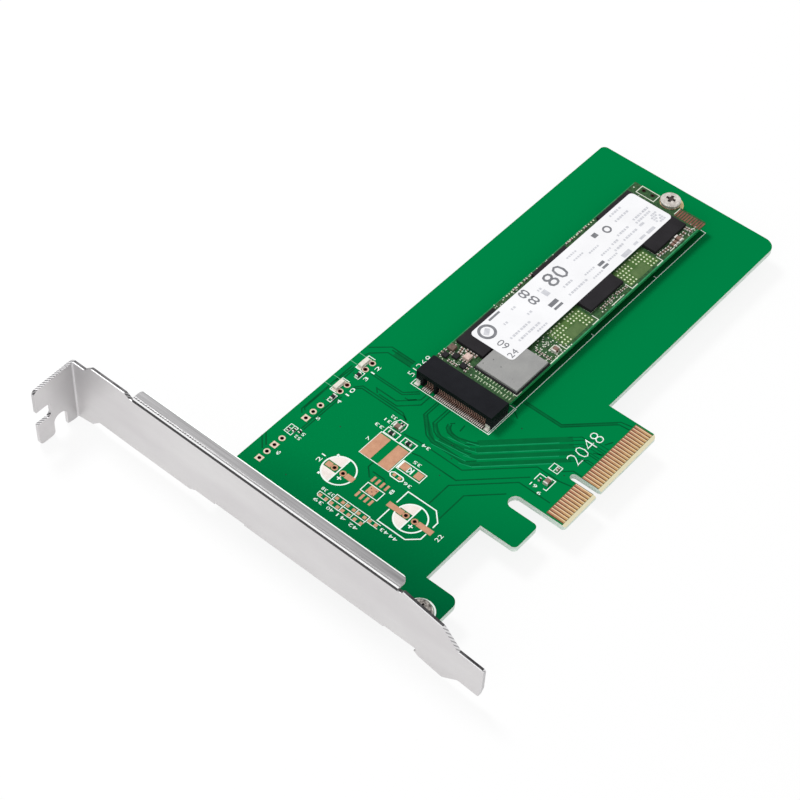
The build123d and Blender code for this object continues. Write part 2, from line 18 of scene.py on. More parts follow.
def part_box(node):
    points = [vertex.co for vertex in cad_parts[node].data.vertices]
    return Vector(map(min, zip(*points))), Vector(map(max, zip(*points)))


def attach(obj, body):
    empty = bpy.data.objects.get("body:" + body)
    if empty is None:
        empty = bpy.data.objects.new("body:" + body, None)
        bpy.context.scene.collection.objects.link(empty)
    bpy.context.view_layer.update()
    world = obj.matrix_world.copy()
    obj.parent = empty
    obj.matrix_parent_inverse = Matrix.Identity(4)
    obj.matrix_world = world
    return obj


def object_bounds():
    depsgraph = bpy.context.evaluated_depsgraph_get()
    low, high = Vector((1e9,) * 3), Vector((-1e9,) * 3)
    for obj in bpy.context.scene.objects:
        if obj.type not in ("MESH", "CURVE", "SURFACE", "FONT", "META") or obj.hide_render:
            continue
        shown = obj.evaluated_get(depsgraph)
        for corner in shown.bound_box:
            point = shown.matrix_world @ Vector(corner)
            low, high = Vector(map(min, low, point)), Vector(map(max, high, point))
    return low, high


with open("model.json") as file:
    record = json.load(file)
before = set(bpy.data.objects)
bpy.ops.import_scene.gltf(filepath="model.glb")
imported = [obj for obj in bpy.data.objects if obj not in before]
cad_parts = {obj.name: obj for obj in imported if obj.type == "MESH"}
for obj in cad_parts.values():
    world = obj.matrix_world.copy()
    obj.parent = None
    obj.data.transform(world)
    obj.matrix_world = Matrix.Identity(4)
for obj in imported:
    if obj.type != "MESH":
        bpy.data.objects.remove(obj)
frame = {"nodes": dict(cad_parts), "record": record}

solids_low, solids_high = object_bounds()
nodes = frame["nodes"]
solids_size = solids_high - solids_low
print("pieces:", len(nodes), "size in mm:", [round(side * 1000, 1) for side in solids_size])

# %% [markdown]
# ## Measures
# Blender works in metres and the card is drawn in millimetres, so one helper turns a
# place on the card into a Blender point. It counts X from the bracket's outer face, Y
# from the contact edge and Z from the board's upper face, because those are the places
# that one can measure on the real card. The bracket's face is one of the card's mounts,
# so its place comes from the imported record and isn't typed again.

# %% A place on the card
MM = 0.001
mounts = {mount["name"]: Vector(mount["pos_m"]) for mount in frame["record"]["mounts"]}
face_x = mounts["bracket_face"].x


def at(x, y, z=0.0):
    return Vector((face_x + x * MM, y * MM, z * MM))


board_low, board_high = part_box("circuit_board")
board_t = (board_high.z - board_low.z) / MM
drive_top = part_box("drive_board")[1].z / MM
drive_end = (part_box("drive_board")[1].x - face_x) / MM
print("board thickness", round(board_t, 2), "drive's upper face at", round(drive_top, 2))

# %% [markdown]
# ## Camera
# The photograph was taken from the bracket's side, about 49 degrees above the table and
# with a long lens, so far edges hardly shrink. A camera is aimed with a direction and a
# small roll about it, which is easier to read than nine matrix numbers. The eye's place
# is the one from which the card's known sizes fall on the photograph's edges.

# %% Aim the camera
eye = at(-197.706, -137.089, 362.700)
view_direction = Vector((0.51738, 0.39396, -0.75968))
camera_roll = math.radians(3.62)

camera_data = bpy.data.cameras.new("camera")
camera_data.sensor_width = 36
camera_data.lens = 92.6
camera = bpy.data.objects.new("camera", camera_data)
camera.rotation_mode = "QUATERNION"
aim = view_direction.to_track_quat("-Z", "Y").to_matrix()
camera.rotation_quaternion = (aim @ Matrix.Rotation(camera_roll, 3, "Z")).to_quaternion()
camera.location = eye
bpy.context.scene.collection.objects.link(camera)
bpy.context.scene.camera = camera
bpy.context.scene.view_settings.view_transform = "Standard"
print("lens", camera_data.lens, "eye in mm:", [round(value / MM) for value in eye])

# %% [markdown]
# ## Node helpers
# Colours are written as the 0 to 255 values that one reads off a photograph, and turned
# to the linear values that a shader expects. Two short helpers add a node and a wire.


# %% Colours, nodes and wires
def linear(red, green, blue):
    def channel(value):
        value /= 255
        return value / 12.92 if value <= 0.04045 else ((value + 0.055) / 1.055) ** 2.4

    return (channel(red), channel(green), channel(blue), 1.0)


def new_node(tree, kind, **settings):
    node = tree.nodes.new(kind)
    for name, value in settings.items():
        setattr(node, name, value)
    return node


def wire(tree, start, end):
    tree.links.new(start, end)


print("a middle grey is", [round(value, 3) for value in linear(128, 128, 128)[:3]])

# %% [markdown]
# A finish is a Principled shader whose colour, roughness and bump wander a little, as
# they do on every real surface. The wander is noise on Object coordinates, so it stays
# on the piece when the camera moves. Its raw values crowd about a half, so they are
# spread before they mix two colours.


# %% Noise and blends
def noise(tree, size_mm, stretch=(1, 1, 1), detail=3.0):
    """Noise whose blobs are about size_mm across, drawn out along an axis by stretch."""
    place = new_node(tree, "ShaderNodeTexCoord")
    scale = new_node(tree, "ShaderNodeMapping")
    scale.inputs["Scale"].default_value = [1 / (size_mm * MM * s) for s in stretch]
    texture = new_node(tree, "ShaderNodeTexNoise")
    texture.inputs["Scale"].default_value = 1.0
    texture.inputs["Detail"].default_value = detail
    wire(tree, place.outputs["Object"], scale.inputs["Vector"])
    wire(tree, scale.outputs["Vector"], texture.inputs["Vector"])
    return texture.outputs["Fac"]


def blend(tree, factor, first, second):
    """Mixes two colours, each a socket or 0 to 255 values, by a factor socket."""
    mix = new_node(tree, "ShaderNodeMix", data_type="RGBA")
    wire(tree, factor, mix.inputs["Factor"])
    for socket, value in ((mix.inputs["A"], first), (mix.inputs["B"], second)):
        if isinstance(value, tuple):
            socket.default_value = linear(*value)
        else:
            wire(tree, value, socket)
    return mix.outputs["Result"]


def between(tree, value, low, high, new_low=0.0, new_high=1.0):
    """Maps a value from one range to another, and clamps it there."""
    ramp = new_node(tree, "ShaderNodeMapRange")
    wire(tree, value, ramp.inputs["Value"])
    ramp.inputs["From Min"].default_value = low
    ramp.inputs["From Max"].default_value = high
    ramp.inputs["To Min"].default_value = new_low
    ramp.inputs["To Max"].default_value = new_high
    return ramp.outputs["Result"]


def blotches(tree, size_mm, stretch=(1, 1, 1), low=0.3, high=0.7, detail=3.0):
    """Noise that is spread to run from 0 to 1."""
    return between(tree, noise(tree, size_mm, stretch, detail), low, high)


print("noise of 1 mm has a scale of", round(1 / MM), "to the metre")

# %% [markdown]
# Some finishes change from place to place on one piece. A shader learns where it is from
# the Object coordinates, and which way the surface looks from its Normal, and simple
# sums and comparisons then choose the colour.


# %% Places and sums
def maths(tree, operation, first, second=0.0):
    node = new_node(tree, "ShaderNodeMath", operation=operation)
    for socket, value in ((node.inputs[0], first), (node.inputs[1], second)):
        if isinstance(value, (int, float)):
            socket.default_value = value
        else:
            wire(tree, value, socket)
    return node.outputs["Value"]


def split(tree, kind):
    """X, Y and Z of the place on the piece, Object, or of the surface's Normal."""
    parts = new_node(tree, "ShaderNodeSeparateXYZ")
    wire(tree, new_node(tree, "ShaderNodeTexCoord").outputs[kind], parts.inputs["Vector"])
    return parts.outputs


print("in Object coordinates the bracket's face is at", round(face_x, 5), "metres")

# %% [markdown]
# ## A finish in one call
# Most pieces need the same recipe with other numbers: two near colours that noise mixes,
# a roughness that wanders between two values, and a fine bump. The bump's distance is in
# metres, so a grain of a hundredth of a millimetre is written as such.


# %% The finish recipe
def new_finish(name, metal=0.0, specular=0.5):
    material = bpy.data.materials.new(name)
    material.use_nodes = True
    tree = material.node_tree
    shader = tree.nodes["Principled BSDF"]
    shader.inputs["Metallic"].default_value = metal
    shader.inputs["Specular IOR Level"].default_value = specular
    return material, tree, shader


def roughen(tree, shader, grain, rough, depth_mm=None):
    """Lets the roughness wander with a grain, which can stand up as a bump too."""
    wire(tree, between(tree, grain, 0.3, 0.7, *rough), shader.inputs["Roughness"])
    if depth_mm:
        node = new_node(tree, "ShaderNodeBump")
        node.inputs["Distance"].default_value = depth_mm * MM
        node.inputs["Strength"].default_value = 1.0
        wire(tree, grain, node.inputs["Height"])
        wire(tree, node.outputs["Normal"], shader.inputs["Normal"])


print("materials so far:", len(bpy.data.materials))

# %% [markdown]
# The usual finish is one call with its colours, its range of roughness and the size of
# its blotches and grain. Dressing a piece puts such a finish into its material slot.


# %% Grained finishes, and dressing a piece
def grained(name, dark, light, rough, blotch_mm, grain_mm, depth_mm, metal=0.0,
            stretch=(1, 1, 1), specular=0.5):
    """Two near colours in blotches, a wandering roughness and a fine grain."""
    material, tree, shader = new_finish(name, metal, specular)
    colour = blend(tree, blotches(tree, blotch_mm, stretch), dark, light)
    wire(tree, colour, shader.inputs["Base Color"])
    grain = noise(tree, grain_mm, stretch, detail=2.0)
    roughen(tree, shader, grain, rough, depth_mm)
    return material


def dress(material, *names):
    """Gives CAD pieces a finish by their material slots."""
    for name in names:
        slots = nodes[name].data.materials
        slots.clear()
        slots.append(material)
        print("dressed", name)


print("pieces that wait for a finish:", len(nodes))

# %% [markdown]
# ## Green board
# The board is woven glass under green solder mask. The mask lies on the two faces only:
# the cut edges show the pale laminate, and the bevel at the contacts a yellower one. The
# shader tells them apart by the surface's own direction, because the mask is where it
# points straight up or down. The mask is a thick varnish, so it is smooth with a soft
# gloss. Its green deepens towards the bracket's lower corner, with faint clouds in it,
# because less light comes back from there; X and half of Y together tell how near that
# corner is.

# %% Board finish
mask_green, corner_green = (0, 126, 67), (0, 93, 54)
laminate_pale, laminate_dark = (240, 248, 241), (206, 226, 214)
bevel_pale = (236, 228, 194)

board_finish, tree, shader = new_finish("board_mask", specular=0.0)
facing = split(tree, "Normal")
upright = maths(tree, "ABSOLUTE", facing["Z"])
on_face = maths(tree, "GREATER_THAN", upright, 0.97)
place = split(tree, "Object")
towards = maths(tree, "ADD", place["X"], maths(tree, "MULTIPLY", place["Y"], 0.5))
clouds = maths(tree, "MULTIPLY", noise(tree, 26.0), 12 * MM)
rise = between(tree, maths(tree, "ADD", towards, clouds), at(14, 0).x, at(60, 0).x)
mask = blend(tree, rise, corner_green, mask_green)
layers = blotches(tree, 0.25, (8, 8, 1), 0.35, 0.65)
laminate = blend(tree, layers, laminate_dark, laminate_pale)
on_bevel = maths(tree, "GREATER_THAN", upright, 0.15)
cut = blend(tree, on_bevel, laminate, bevel_pale)
wire(tree, blend(tree, on_face, cut, mask), shader.inputs["Base Color"])
roughen(tree, shader, noise(tree, 1.4, detail=4.0), (0.42, 0.5), 0.004)
dress(board_finish, "circuit_board")

# %% [markdown]
# ## Bracket
# The bracket is nickel-plated sheet with a satin face. Its polish runs along its length,
# so the noise is drawn out along Y, which gives fine streaks without any drawn line. The
# flange beside the board is brushed more coarsely and looks greyer. At its bend a painted
# highlight, a white line, runs with a painted dark reflection under it, and the sheet's cut
# edges are a mix of black and white: partly torn steel, and partly painted reflection where
# a punched edge is mirror-bright. The shader finds these places by the surface's direction
# and by X, Y and Z on the bracket.

# %% Bracket finish
flange_low_y, flange_high_y, flange_z = 11.0, 88.0, 14.4
lit_corner_y, nicked_flange_y, tab_y, lowest_edge_z = 9.0, 66.0, 106.9, 3.0


def inside(tree, value, low, high):
    """1 where the value lies between low and high, and 0 elsewhere."""
    above = maths(tree, "GREATER_THAN", value, low)
    below = maths(tree, "LESS_THAN", value, high)
    return maths(tree, "MULTIPLY", above, below)


bracket_finish, tree, shader = new_finish("bracket_nickel", metal=0.45, specular=0.5)
place, facing = split(tree, "Object"), split(tree, "Normal")
x, y, z = (place[axis] for axis in "XYZ")
along_flange = inside(tree, y, flange_low_y * MM, flange_high_y * MM)

satin = blend(tree, blotches(tree, 9.0, (1, 3, 1)), (212, 209, 210), (222, 220, 220))
print("bracket's nodes so far:", len(tree.nodes))

# %% [markdown]
# Where the sheet turns into the screw tab it is painted a little greyer, a painted
# reflection of the tab and the face in each other, and the fold itself gets a painted
# highlight, a thin white line. Y and Z together tell how far up the face a point lies.


# %% Painted reflection and highlight at the tab's fold
def total(tree, first, second, weight):
    return maths(tree, "ADD", first, maths(tree, "MULTIPLY", second, weight))


up_the_face = total(tree, y, z, 0.9)
near_fold = between(tree, up_the_face, 104 * MM, 113 * MM)
along_tab = between(tree, x, face_x - 9 * MM, face_x)
on_tab = maths(tree, "LESS_THAN", facing["Y"], -0.5)
fold_shade = blend(tree, on_tab, near_fold, along_tab)
# Painted reflection: the plating is painted greyer near the tab's fold.
satin = blend(tree, fold_shade, satin, (196, 194, 195))
# Painted highlight: a thin white line down the fold.
crease_highlight = maths(tree, "MULTIPLY", inside(tree, x, face_x - 0.5 * MM, face_x - 0.05 * MM),
               inside(tree, y, 106.0 * MM, 107.2 * MM))
satin = blend(tree, crease_highlight, satin, (240, 239, 240))
print("bracket's nodes so far:", len(tree.nodes))

# %% [markdown]
# Surfaces that point up are either the flange, which is brushed and has a painted highlight
# along its outer rim, or cut edges. On the edges dark and pale nicks, partly torn steel and
# partly painted reflection, come at one pitch along X and Y together, so that they show on
# straight and slanting stretches alike. Near the lower corner the nicks are pale, a painted
# highlight, and level edges are dark with a painted white highlight on their outer side.
# The lowest edge stays plain.

# %% Flange, bend and cut edges
streaks = blotches(tree, 0.35, (1, 60, 1), 0.32, 0.68)
brushed = blend(tree, streaks, (118, 117, 118), (146, 145, 146))
# Painted highlight along the flange's outer rim.
outer_rim_highlight = inside(tree, x, face_x + 3.2 * MM, face_x + 3.6 * MM)
brushed = blend(tree, outer_rim_highlight, brushed, (226, 232, 228))
at_fold = inside(tree, x, face_x - 0.1 * MM, face_x + 0.5 * MM)
# Painted highlight at the top of the bend, and a painted dark reflection under it.
fold_highlight_band = maths(tree, "GREATER_THAN", z, (flange_z - 0.42) * MM)
fold_dark_reflection_band = maths(tree, "GREATER_THAN", z, (flange_z - 1.12) * MM)

# Level cut edges: dark, partly the cut steel and partly painted reflection, with a painted white
# highlight on their outer side.
soft_wander = blotches(tree, 2.0, low=0.4, high=0.6)
edge_dark = blend(tree, soft_wander, (50, 48, 50), (84, 82, 84))
outer_edge_highlight = inside(tree, x, face_x - 0.1 * MM, face_x + 0.22 * MM)
edge_dark = blend(tree, outer_edge_highlight, edge_dark, (240, 240, 241))
# Dark and pale nicks on the cut edges: partly torn steel, partly painted reflection.
nick_pitch = 0.75 * MM
nicks = maths(tree, "FRACT", maths(tree, "DIVIDE", maths(tree, "ADD", x, y), nick_pitch))
nicks_and_glints = blend(tree, maths(tree, "GREATER_THAN", nicks, 0.55),
               (158, 157, 158), (58, 56, 58))
# Painted highlight: near the lower corner the nicks are pale.
lit_nicks = blend(tree, maths(tree, "GREATER_THAN", nicks, 0.6),
                     (242, 241, 242), (176, 174, 176))
nicks_and_glints = blend(tree, maths(tree, "LESS_THAN", y, lit_corner_y * MM), nicks_and_glints, lit_nicks)
steep = maths(tree, "GREATER_THAN", facing["Z"], 0.4)
level = maths(tree, "GREATER_THAN", facing["Z"], 0.9)
beyond = maths(tree, "GREATER_THAN", y, tab_y * MM)
plain_level = maths(tree, "MULTIPLY", level, maths(tree, "SUBTRACT", 1.0, beyond))
edges = blend(tree, plain_level, nicks_and_glints, edge_dark)
inner_line = maths(tree, "MULTIPLY", inside(tree, x, face_x + 0.45 * MM, face_x + 0.8 * MM),
                   maths(tree, "GREATER_THAN", y, nicked_flange_y * MM))
brushed = blend(tree, inner_line, brushed, nicks_and_glints)
upward = blend(tree, along_flange, edges, brushed)
low_edge = maths(tree, "MULTIPLY", maths(tree, "LESS_THAN", z, lowest_edge_z * MM),
                 maths(tree, "SUBTRACT", 1.0, beyond))
upward = blend(tree, low_edge, upward, satin)
surface = blend(tree, steep, satin, upward)
# Where the bend's painted highlight and painted dark reflection go, and their two colours.
fold_reflection_place = maths(tree, "MULTIPLY", along_flange, maths(tree, "MULTIPLY", at_fold, fold_dark_reflection_band))
fold = blend(tree, fold_highlight_band, (58, 56, 58), (248, 248, 248))
wire(tree, blend(tree, fold_reflection_place, surface, fold), shader.inputs["Base Color"])
roughen(tree, shader, noise(tree, 0.16, (1, 18, 1), detail=2.0), (0.34, 0.46), 0.0015)
dress(bracket_finish, "bracket")

# %% [markdown]
# ## Other metals
# Solder and tinned ends are bright and nearly white. The bare pads are copper under a
# clear film, which makes them a dull pink. The strip beside the drive's screw is darker
# copper, and the standoff is pale brass.

# %% Metal finishes
tin_finish = grained(
    "tin", (196, 190, 184), (240, 237, 231), (0.25, 0.45), 0.5, 0.15, 0.01, metal=0.4
)
copper_finish = grained(
    "bare_copper", (184, 130, 98), (200, 148, 114), (0.4, 0.55), 1.5, 0.2, 0.003, metal=0.15
)
strip_finish = grained(
    "strip_copper", (106, 60, 48), (140, 82, 64), (0.4, 0.55), 1.0, 0.2, 0.003, metal=0.2
)
brass_finish = grained(
    "standoff_brass", (206, 182, 128), (232, 212, 164), (0.25, 0.4), 1.5, 0.2, 0.004, metal=0.5
)
dress(tin_finish, "screw_pads", "socket_solder_tabs", "chip_capacitor_ends",
      "chip_resistor_ends", "drive_capacitor_ends")
dress(copper_finish, "inductor_pads", "diode_pads", "regulator_pads", "capacitor_strips",
      "small_part_pads")
dress(strip_finish, "drive_contact_strip")
dress(brass_finish, "standoff")

# %% [markdown]
# Each edge contact is a flat strip of thin gold over nickel. One side of each looks
# brighter, which is a painted highlight, and all turn lighter and yellower towards the
# bevel. The pitch is one millimetre, so a fraction of X finds the side with the highlight.

# %% Contact finish
gold_finish, tree, shader = new_finish("contact_gold", metal=0.25)
place = split(tree, "Object")
mottle = blotches(tree, 1.5)
upper_gold = blend(tree, mottle, (164, 108, 80), (186, 128, 98))
lower_gold = blend(tree, mottle, (176, 140, 86), (206, 168, 108))
rise = between(tree, place["Y"], at(0, 1.0).y, at(0, 5.0).y)
plating = blend(tree, rise, lower_gold, upper_gold)
contact_pitch, glint_from, glint_to = 1.0 * MM, 0.44, 0.70
offset = maths(tree, "SUBTRACT", place["X"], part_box("edge_contacts_front")[0].x)
across = maths(tree, "FRACT", maths(tree, "DIVIDE", offset, contact_pitch))
# Painted highlight along one side of each contact.
painted_glint = inside(tree, across, glint_from, glint_to)
plating = blend(tree, painted_glint, plating, (226, 200, 160))
wire(tree, plating, shader.inputs["Base Color"])
roughen(tree, shader, noise(tree, 0.2), (0.36, 0.5), 0.002)
dress(gold_finish, "edge_contacts_front", "edge_contacts_back", "drive_edge_contacts",
      "drive_ground_ring")

# %% [markdown]
# Rings are tinned where a part's lead is meant to go, and bare at the two capacitors,
# which lie lower on the card. A height along Y between the two groups tells them apart.

# %% Ring finish
ring_finish, tree, shader = new_finish("hole_rings", metal=0.15, specular=0.4)
place = split(tree, "Object")
mottle = blotches(tree, 0.5)
tinned = blend(tree, mottle, (202, 178, 156), (226, 206, 186))
bare = blend(tree, mottle, (184, 130, 98), (200, 148, 114))
upper = maths(tree, "GREATER_THAN", place["Y"], at(0, 56).y)
wire(tree, blend(tree, upper, bare, tinned), shader.inputs["Base Color"])
roughen(tree, shader, noise(tree, 0.2), (0.3, 0.5))
dress(ring_finish, "hole_rings")

# %% [markdown]
# The socket's contacts are pale where solder wets their feet, outside the housing, and
# warmer up the riser, then darker higher up, a painted shade under the housing's roof.
# The line between the two lies at the housing's rear.

# %% Pin finish
socket_rear_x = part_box("socket_housing")[0].x
pin_finish, tree, shader = new_finish("pin_plating", metal=0.3, specular=0.5)
place = split(tree, "Object")
mottle = blotches(tree, 0.4)
feet = blend(tree, mottle, (226, 214, 206), (255, 250, 245))
riser_foot = blend(tree, mottle, (178, 140, 126), (222, 188, 174))
# Painted shade: the riser darkens higher up, under the housing.
shaded_riser_top = blend(tree, mottle, (84, 64, 50), (122, 98, 80))
height = between(tree, place["Z"], 0.3 * MM, 2.2 * MM)
risers = blend(tree, height, riser_foot, shaded_riser_top)
climb = between(tree, place["X"], socket_rear_x, socket_rear_x + 0.35 * MM)
wire(tree, blend(tree, climb, feet, risers), shader.inputs["Base Color"])
roughen(tree, shader, noise(tree, 0.1), (0.25, 0.4))
dress(pin_finish, "socket_pins_rear", "socket_pins_front")

# %% [markdown]
# Screw heads are bright with dark recesses, since hardly any light comes back out of a
# cross this deep. A point near a screw's axis and below its top is in the recess. The
# bracket's screws stand close to the bracket and mirror its dark inner side.


# %% Screw finishes
recess_r, rim_depth = 1.45, 0.04


def screw_finish(name, node, places, bright, dull, recess):
    material, tree, shader = new_finish(name, metal=0.5)
    place = split(tree, "Object")
    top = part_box(node)[1].z
    near = None
    for spot_x, spot_y in places:
        spot = at(spot_x, spot_y)
        across = maths(tree, "SUBTRACT", place["X"], spot.x)
        up = maths(tree, "SUBTRACT", place["Y"], spot.y)
        square = maths(tree, "ADD", maths(tree, "MULTIPLY", across, across),
                       maths(tree, "MULTIPLY", up, up))
        close = maths(tree, "LESS_THAN", square, (recess_r * MM) ** 2)
        near = close if near is None else maths(tree, "MAXIMUM", near, close)
    sunk = maths(tree, "LESS_THAN", place["Z"], top - rim_depth * MM)
    inner = maths(tree, "MULTIPLY", near, sunk)
    mottle = blotches(tree, 0.8, low=0.35, high=0.65)
    plated = blend(tree, mottle, dull, bright)
    wire(tree, blend(tree, inner, plated, recess), shader.inputs["Base Color"])
    roughen(tree, shader, noise(tree, 0.2), (0.25, 0.4), 0.006)
    dress(material, node)


bracket_screws = [(6.7, 9.7), (6.7, 59.0)]
screw_low, screw_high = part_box("standoff_screw")
standoff_x = ((screw_low.x + screw_high.x) / 2 - face_x) / MM
standoff_y = (screw_low.y + screw_high.y) / 2 / MM
print("drive screw at", round(standoff_x, 2), round(standoff_y, 2))
screw_finish("drive_screw_plating", "standoff_screw", [(standoff_x, standoff_y)],
             (230, 224, 217), (190, 182, 175), (40, 31, 29))
screw_finish("bracket_screw_plating", "bracket_screws", bracket_screws,
             (178, 172, 166), (66, 60, 56), (26, 22, 20))

# %% [markdown]
# ## Plastics, packages and the drive's own board
# The socket is glass-filled nylon, so its black has a fine grain. Moulded packages are a
# shade lighter and matt. The drive's board has an olive mask, and its cut edge shows a
# brighter green.

# %% Plastic and package finishes
socket_finish = grained(
    "socket_nylon", (17, 18, 23), (25, 26, 31), (0.45, 0.58), 3.0, 0.12, 0.004, specular=0.08
)
package_finish = grained(
    "package_moulding", (33, 31, 34), (41, 39, 42), (0.55, 0.7), 4.0, 0.1, 0.006, specular=0.1
)
lid_finish = grained(
    "controller_lid", (146, 146, 145), (156, 156, 154), (0.5, 0.62), 3.0, 0.12, 0.003,
    metal=0.2, specular=0.3,
)
tan_finish = grained(
    "ceramic_tan", (112, 84, 72), (140, 108, 94), (0.45, 0.6), 0.6, 0.1, 0.004
)
light_finish = grained(
    "light_lens", (214, 206, 192), (236, 230, 220), (0.3, 0.45), 0.8, 0.2, 0.003
)
drive_finish, tree, shader = new_finish("drive_mask", specular=0.12)
facing = split(tree, "Normal")
level = maths(tree, "GREATER_THAN", maths(tree, "ABSOLUTE", facing["Z"]), 0.9)
weave = blotches(tree, 0.7, low=0.35, high=0.65, detail=4.0)
olive = blend(tree, weave, (38, 70, 42), (62, 98, 58))
wire(tree, blend(tree, level, (34, 142, 80), olive), shader.inputs["Base Color"])
roughen(tree, shader, noise(tree, 0.4), (0.4, 0.55))
dress(socket_finish, "socket_housing")
dress(package_finish, "drive_controller_base", "drive_buffer_memory", "drive_flash_memory",
      "drive_power_chips", "chip_resistors")
dress(lid_finish, "drive_controller_lid")
dress(tan_finish, "chip_capacitors", "drive_capacitors")

# %% [markdown]
# Of the drive's two inductors the upper one is dark ferrite, and the lower one has a
# pale ceramic top. One finish serves both, and the Y halfway between them parts them.

# %% Inductor finish
coil_low, coil_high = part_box("drive_inductors")
coil_finish, tree, shader = new_finish("inductor_body", specular=0.3)
place = split(tree, "Object")
mottle = blotches(tree, 0.5)
ferrite = blend(tree, mottle, (88, 70, 62), (124, 100, 88))
ceramic = blend(tree, mottle, (190, 160, 148), (224, 200, 190))
middle_y = (coil_low.y + coil_high.y) / 2
print("inductors span", [round(v * 1000, 1) for v in coil_high - coil_low])
lower = maths(tree, "LESS_THAN", place["Y"], middle_y)
wire(tree, blend(tree, lower, ferrite, ceramic), shader.inputs["Base Color"])
roughen(tree, shader, noise(tree, 0.15), (0.45, 0.6), 0.004)
dress(coil_finish, "drive_inductors")
dress(light_finish, "status_lights")
dress(drive_finish, "drive_board")

# %% [markdown]
# ## Label
# The label is a smooth white film. Its ink comes later, as thin pieces of its own.

# %% Label finish
label_finish = grained(
    "label_film", (238, 238, 240), (244, 244, 246), (0.38, 0.5), 6.0, 0.3, 0.002, specular=0.4
)
dress(label_finish, "drive_label")

# %% [markdown]
# ## Thin flat things
# Print, copper tracks and the label's ink are all the same kind of thing: flat shapes a
# few hundredths of a millimetre thick. They are drawn flat with a handful of operators
# and then raised once, so that each becomes a thin closed body with a real edge. A line
# is one short edge that is extruded from corner to corner, with its ends cut at half the
# corner's angle, as a router or a screen printer's film would show it.


# %% Lines and patches
def corner_offsets(route, width, closed):
    """How far the line's left side stands from each of its points."""
    count = len(route)
    offsets = []
    for step, point in enumerate(route):
        before = route[step - 1] if step or closed else point - (route[1] - point)
        after = route[(step + 1) % count] if step < count - 1 or closed else point * 2 - before
        came, goes = (point - before).normalized(), (after - point).normalized()
        across = Vector((-came.y - goes.y, came.x + goes.x)).normalized()
        offsets.append(across * (width / 2 / max(0.4, across.dot(Vector((-goes.y, goes.x))))))
    return offsets


def line(shape, points, width, closed=False):
    """A flat line in card millimetres, mitred at its corners."""
    route = [Vector(point) for point in points]
    offsets = corner_offsets(route, width, closed)
    if closed:
        route, offsets = route + route[:1], offsets + offsets[:1]
    sides = [shape.verts.new(at(*(route[0] + offsets[0]))),
             shape.verts.new(at(*(route[0] - offsets[0])))]
    edge = shape.edges.new(sides)
    for point, offset in zip(route[1:], offsets[1:]):
        made = bmesh.ops.extrude_edge_only(shape, edges=[edge])["geom"]
        corners = [item for item in made if isinstance(item, bmesh.types.BMVert)]
        corners.sort(key=lambda corner: (corner.co - sides[0].co).length)
        corners[0].co, corners[1].co = at(*(point + offset)), at(*(point - offset))
        edge = next(item for item in made if isinstance(item, bmesh.types.BMEdge))
        sides = corners


def rectangle(shape, low_x, low_y, high_x, high_y, width):
    line(shape, [(low_x, low_y), (high_x, low_y), (high_x, high_y), (low_x, high_y)],
         width, closed=True)


def patch(shape, low_x, low_y, high_x, high_y):
    """A filled rectangle."""
    middle = (low_y + high_y) / 2
    line(shape, [(low_x, middle), (high_x, middle)], high_y - low_y)


quarter_turn = [Vector(point) for point in ((0, 0), (1, 0), (1, 1))]
print("a corner's offset:", corner_offsets(quarter_turn, 0.2, False)[1])

# %% [markdown]
# Rings are closed lines round a circle, and small dots are filled discs. The capacitors'
# print needs discs with a side cut off, which a cutting plane does in one operator.


# %% Rings and discs
def around(x, y, radius, count=32):
    turns = [2 * math.pi * step / count for step in range(count)]
    return [(x + radius * math.cos(turn), y + radius * math.sin(turn)) for turn in turns]


def disc(shape, x, y, radius, count=10):
    bmesh.ops.create_circle(shape, cap_ends=True, segments=count, radius=radius * MM,
                            matrix=Matrix.Translation(at(x, y)))


def part_disc(shape, x, y, radius, *cuts):
    """A disc of which each cut, a point and a direction, takes away one side."""
    piece = bmesh.new()
    disc(piece, x, y, radius, count=40)
    for place, direction in cuts:
        bmesh.ops.bisect_plane(piece, geom=piece.verts[:] + piece.edges[:] + piece.faces[:],
                               plane_co=at(*place), plane_no=(*direction, 0),
                               clear_outer=True)
    kept = bpy.data.meshes.new("part_disc")
    piece.to_mesh(kept)
    piece.free()
    shape.from_mesh(kept)
    bpy.data.meshes.remove(kept)


print("a ring of eight points starts at", around(0, 0, 1, 8)[:2])

# %% [markdown]
# Numbers are set with Blender's own letters and turned into a flat mesh. The mesh is
# then fitted to its box, so that it is exactly as wide and tall as the real print.


# %% Numbers as flat shapes
def number(shape, text, low_x, low_y, high_x, high_y, turned=False, thinner=0.0):
    """Plain digits that fill a box. Turned ones read along +Y instead of +X."""
    words = bpy.data.curves.new("number", "FONT")
    words.body = text
    words.offset = -thinner
    words.resolution_u = 2
    holder = bpy.data.objects.new("number", words)
    bpy.context.scene.collection.objects.link(holder)
    bpy.context.view_layer.update()
    flat = bpy.data.meshes.new_from_object(
        holder.evaluated_get(bpy.context.evaluated_depsgraph_get()))
    bpy.data.objects.remove(holder)
    bpy.data.curves.remove(words)
    if turned:
        flat.transform(Matrix.Rotation(math.pi / 2, 4, "Z"))
    places = [vertex.co for vertex in flat.vertices]
    low = Vector((min(place.x for place in places), min(place.y for place in places), 0))
    high = Vector((max(place.x for place in places), max(place.y for place in places), 0))
    wide, tall = (high_x - low_x) * MM, (high_y - low_y) * MM
    grow = Matrix.Diagonal((wide / (high.x - low.x), tall / (high.y - low.y), 0, 1))
    flat.transform(Matrix.Translation(at(low_x, low_y)) @ grow @ Matrix.Translation(-low))
    shape.from_mesh(flat)
    bpy.data.meshes.remove(flat)


print("fonts so far:", len(bpy.data.fonts))

# %% [markdown]
# Raising copies the flat faces, lifts the copy and closes the rim between the two. Each
# shape starts a hair below the face that it lies on, so no gap shows at its edge.


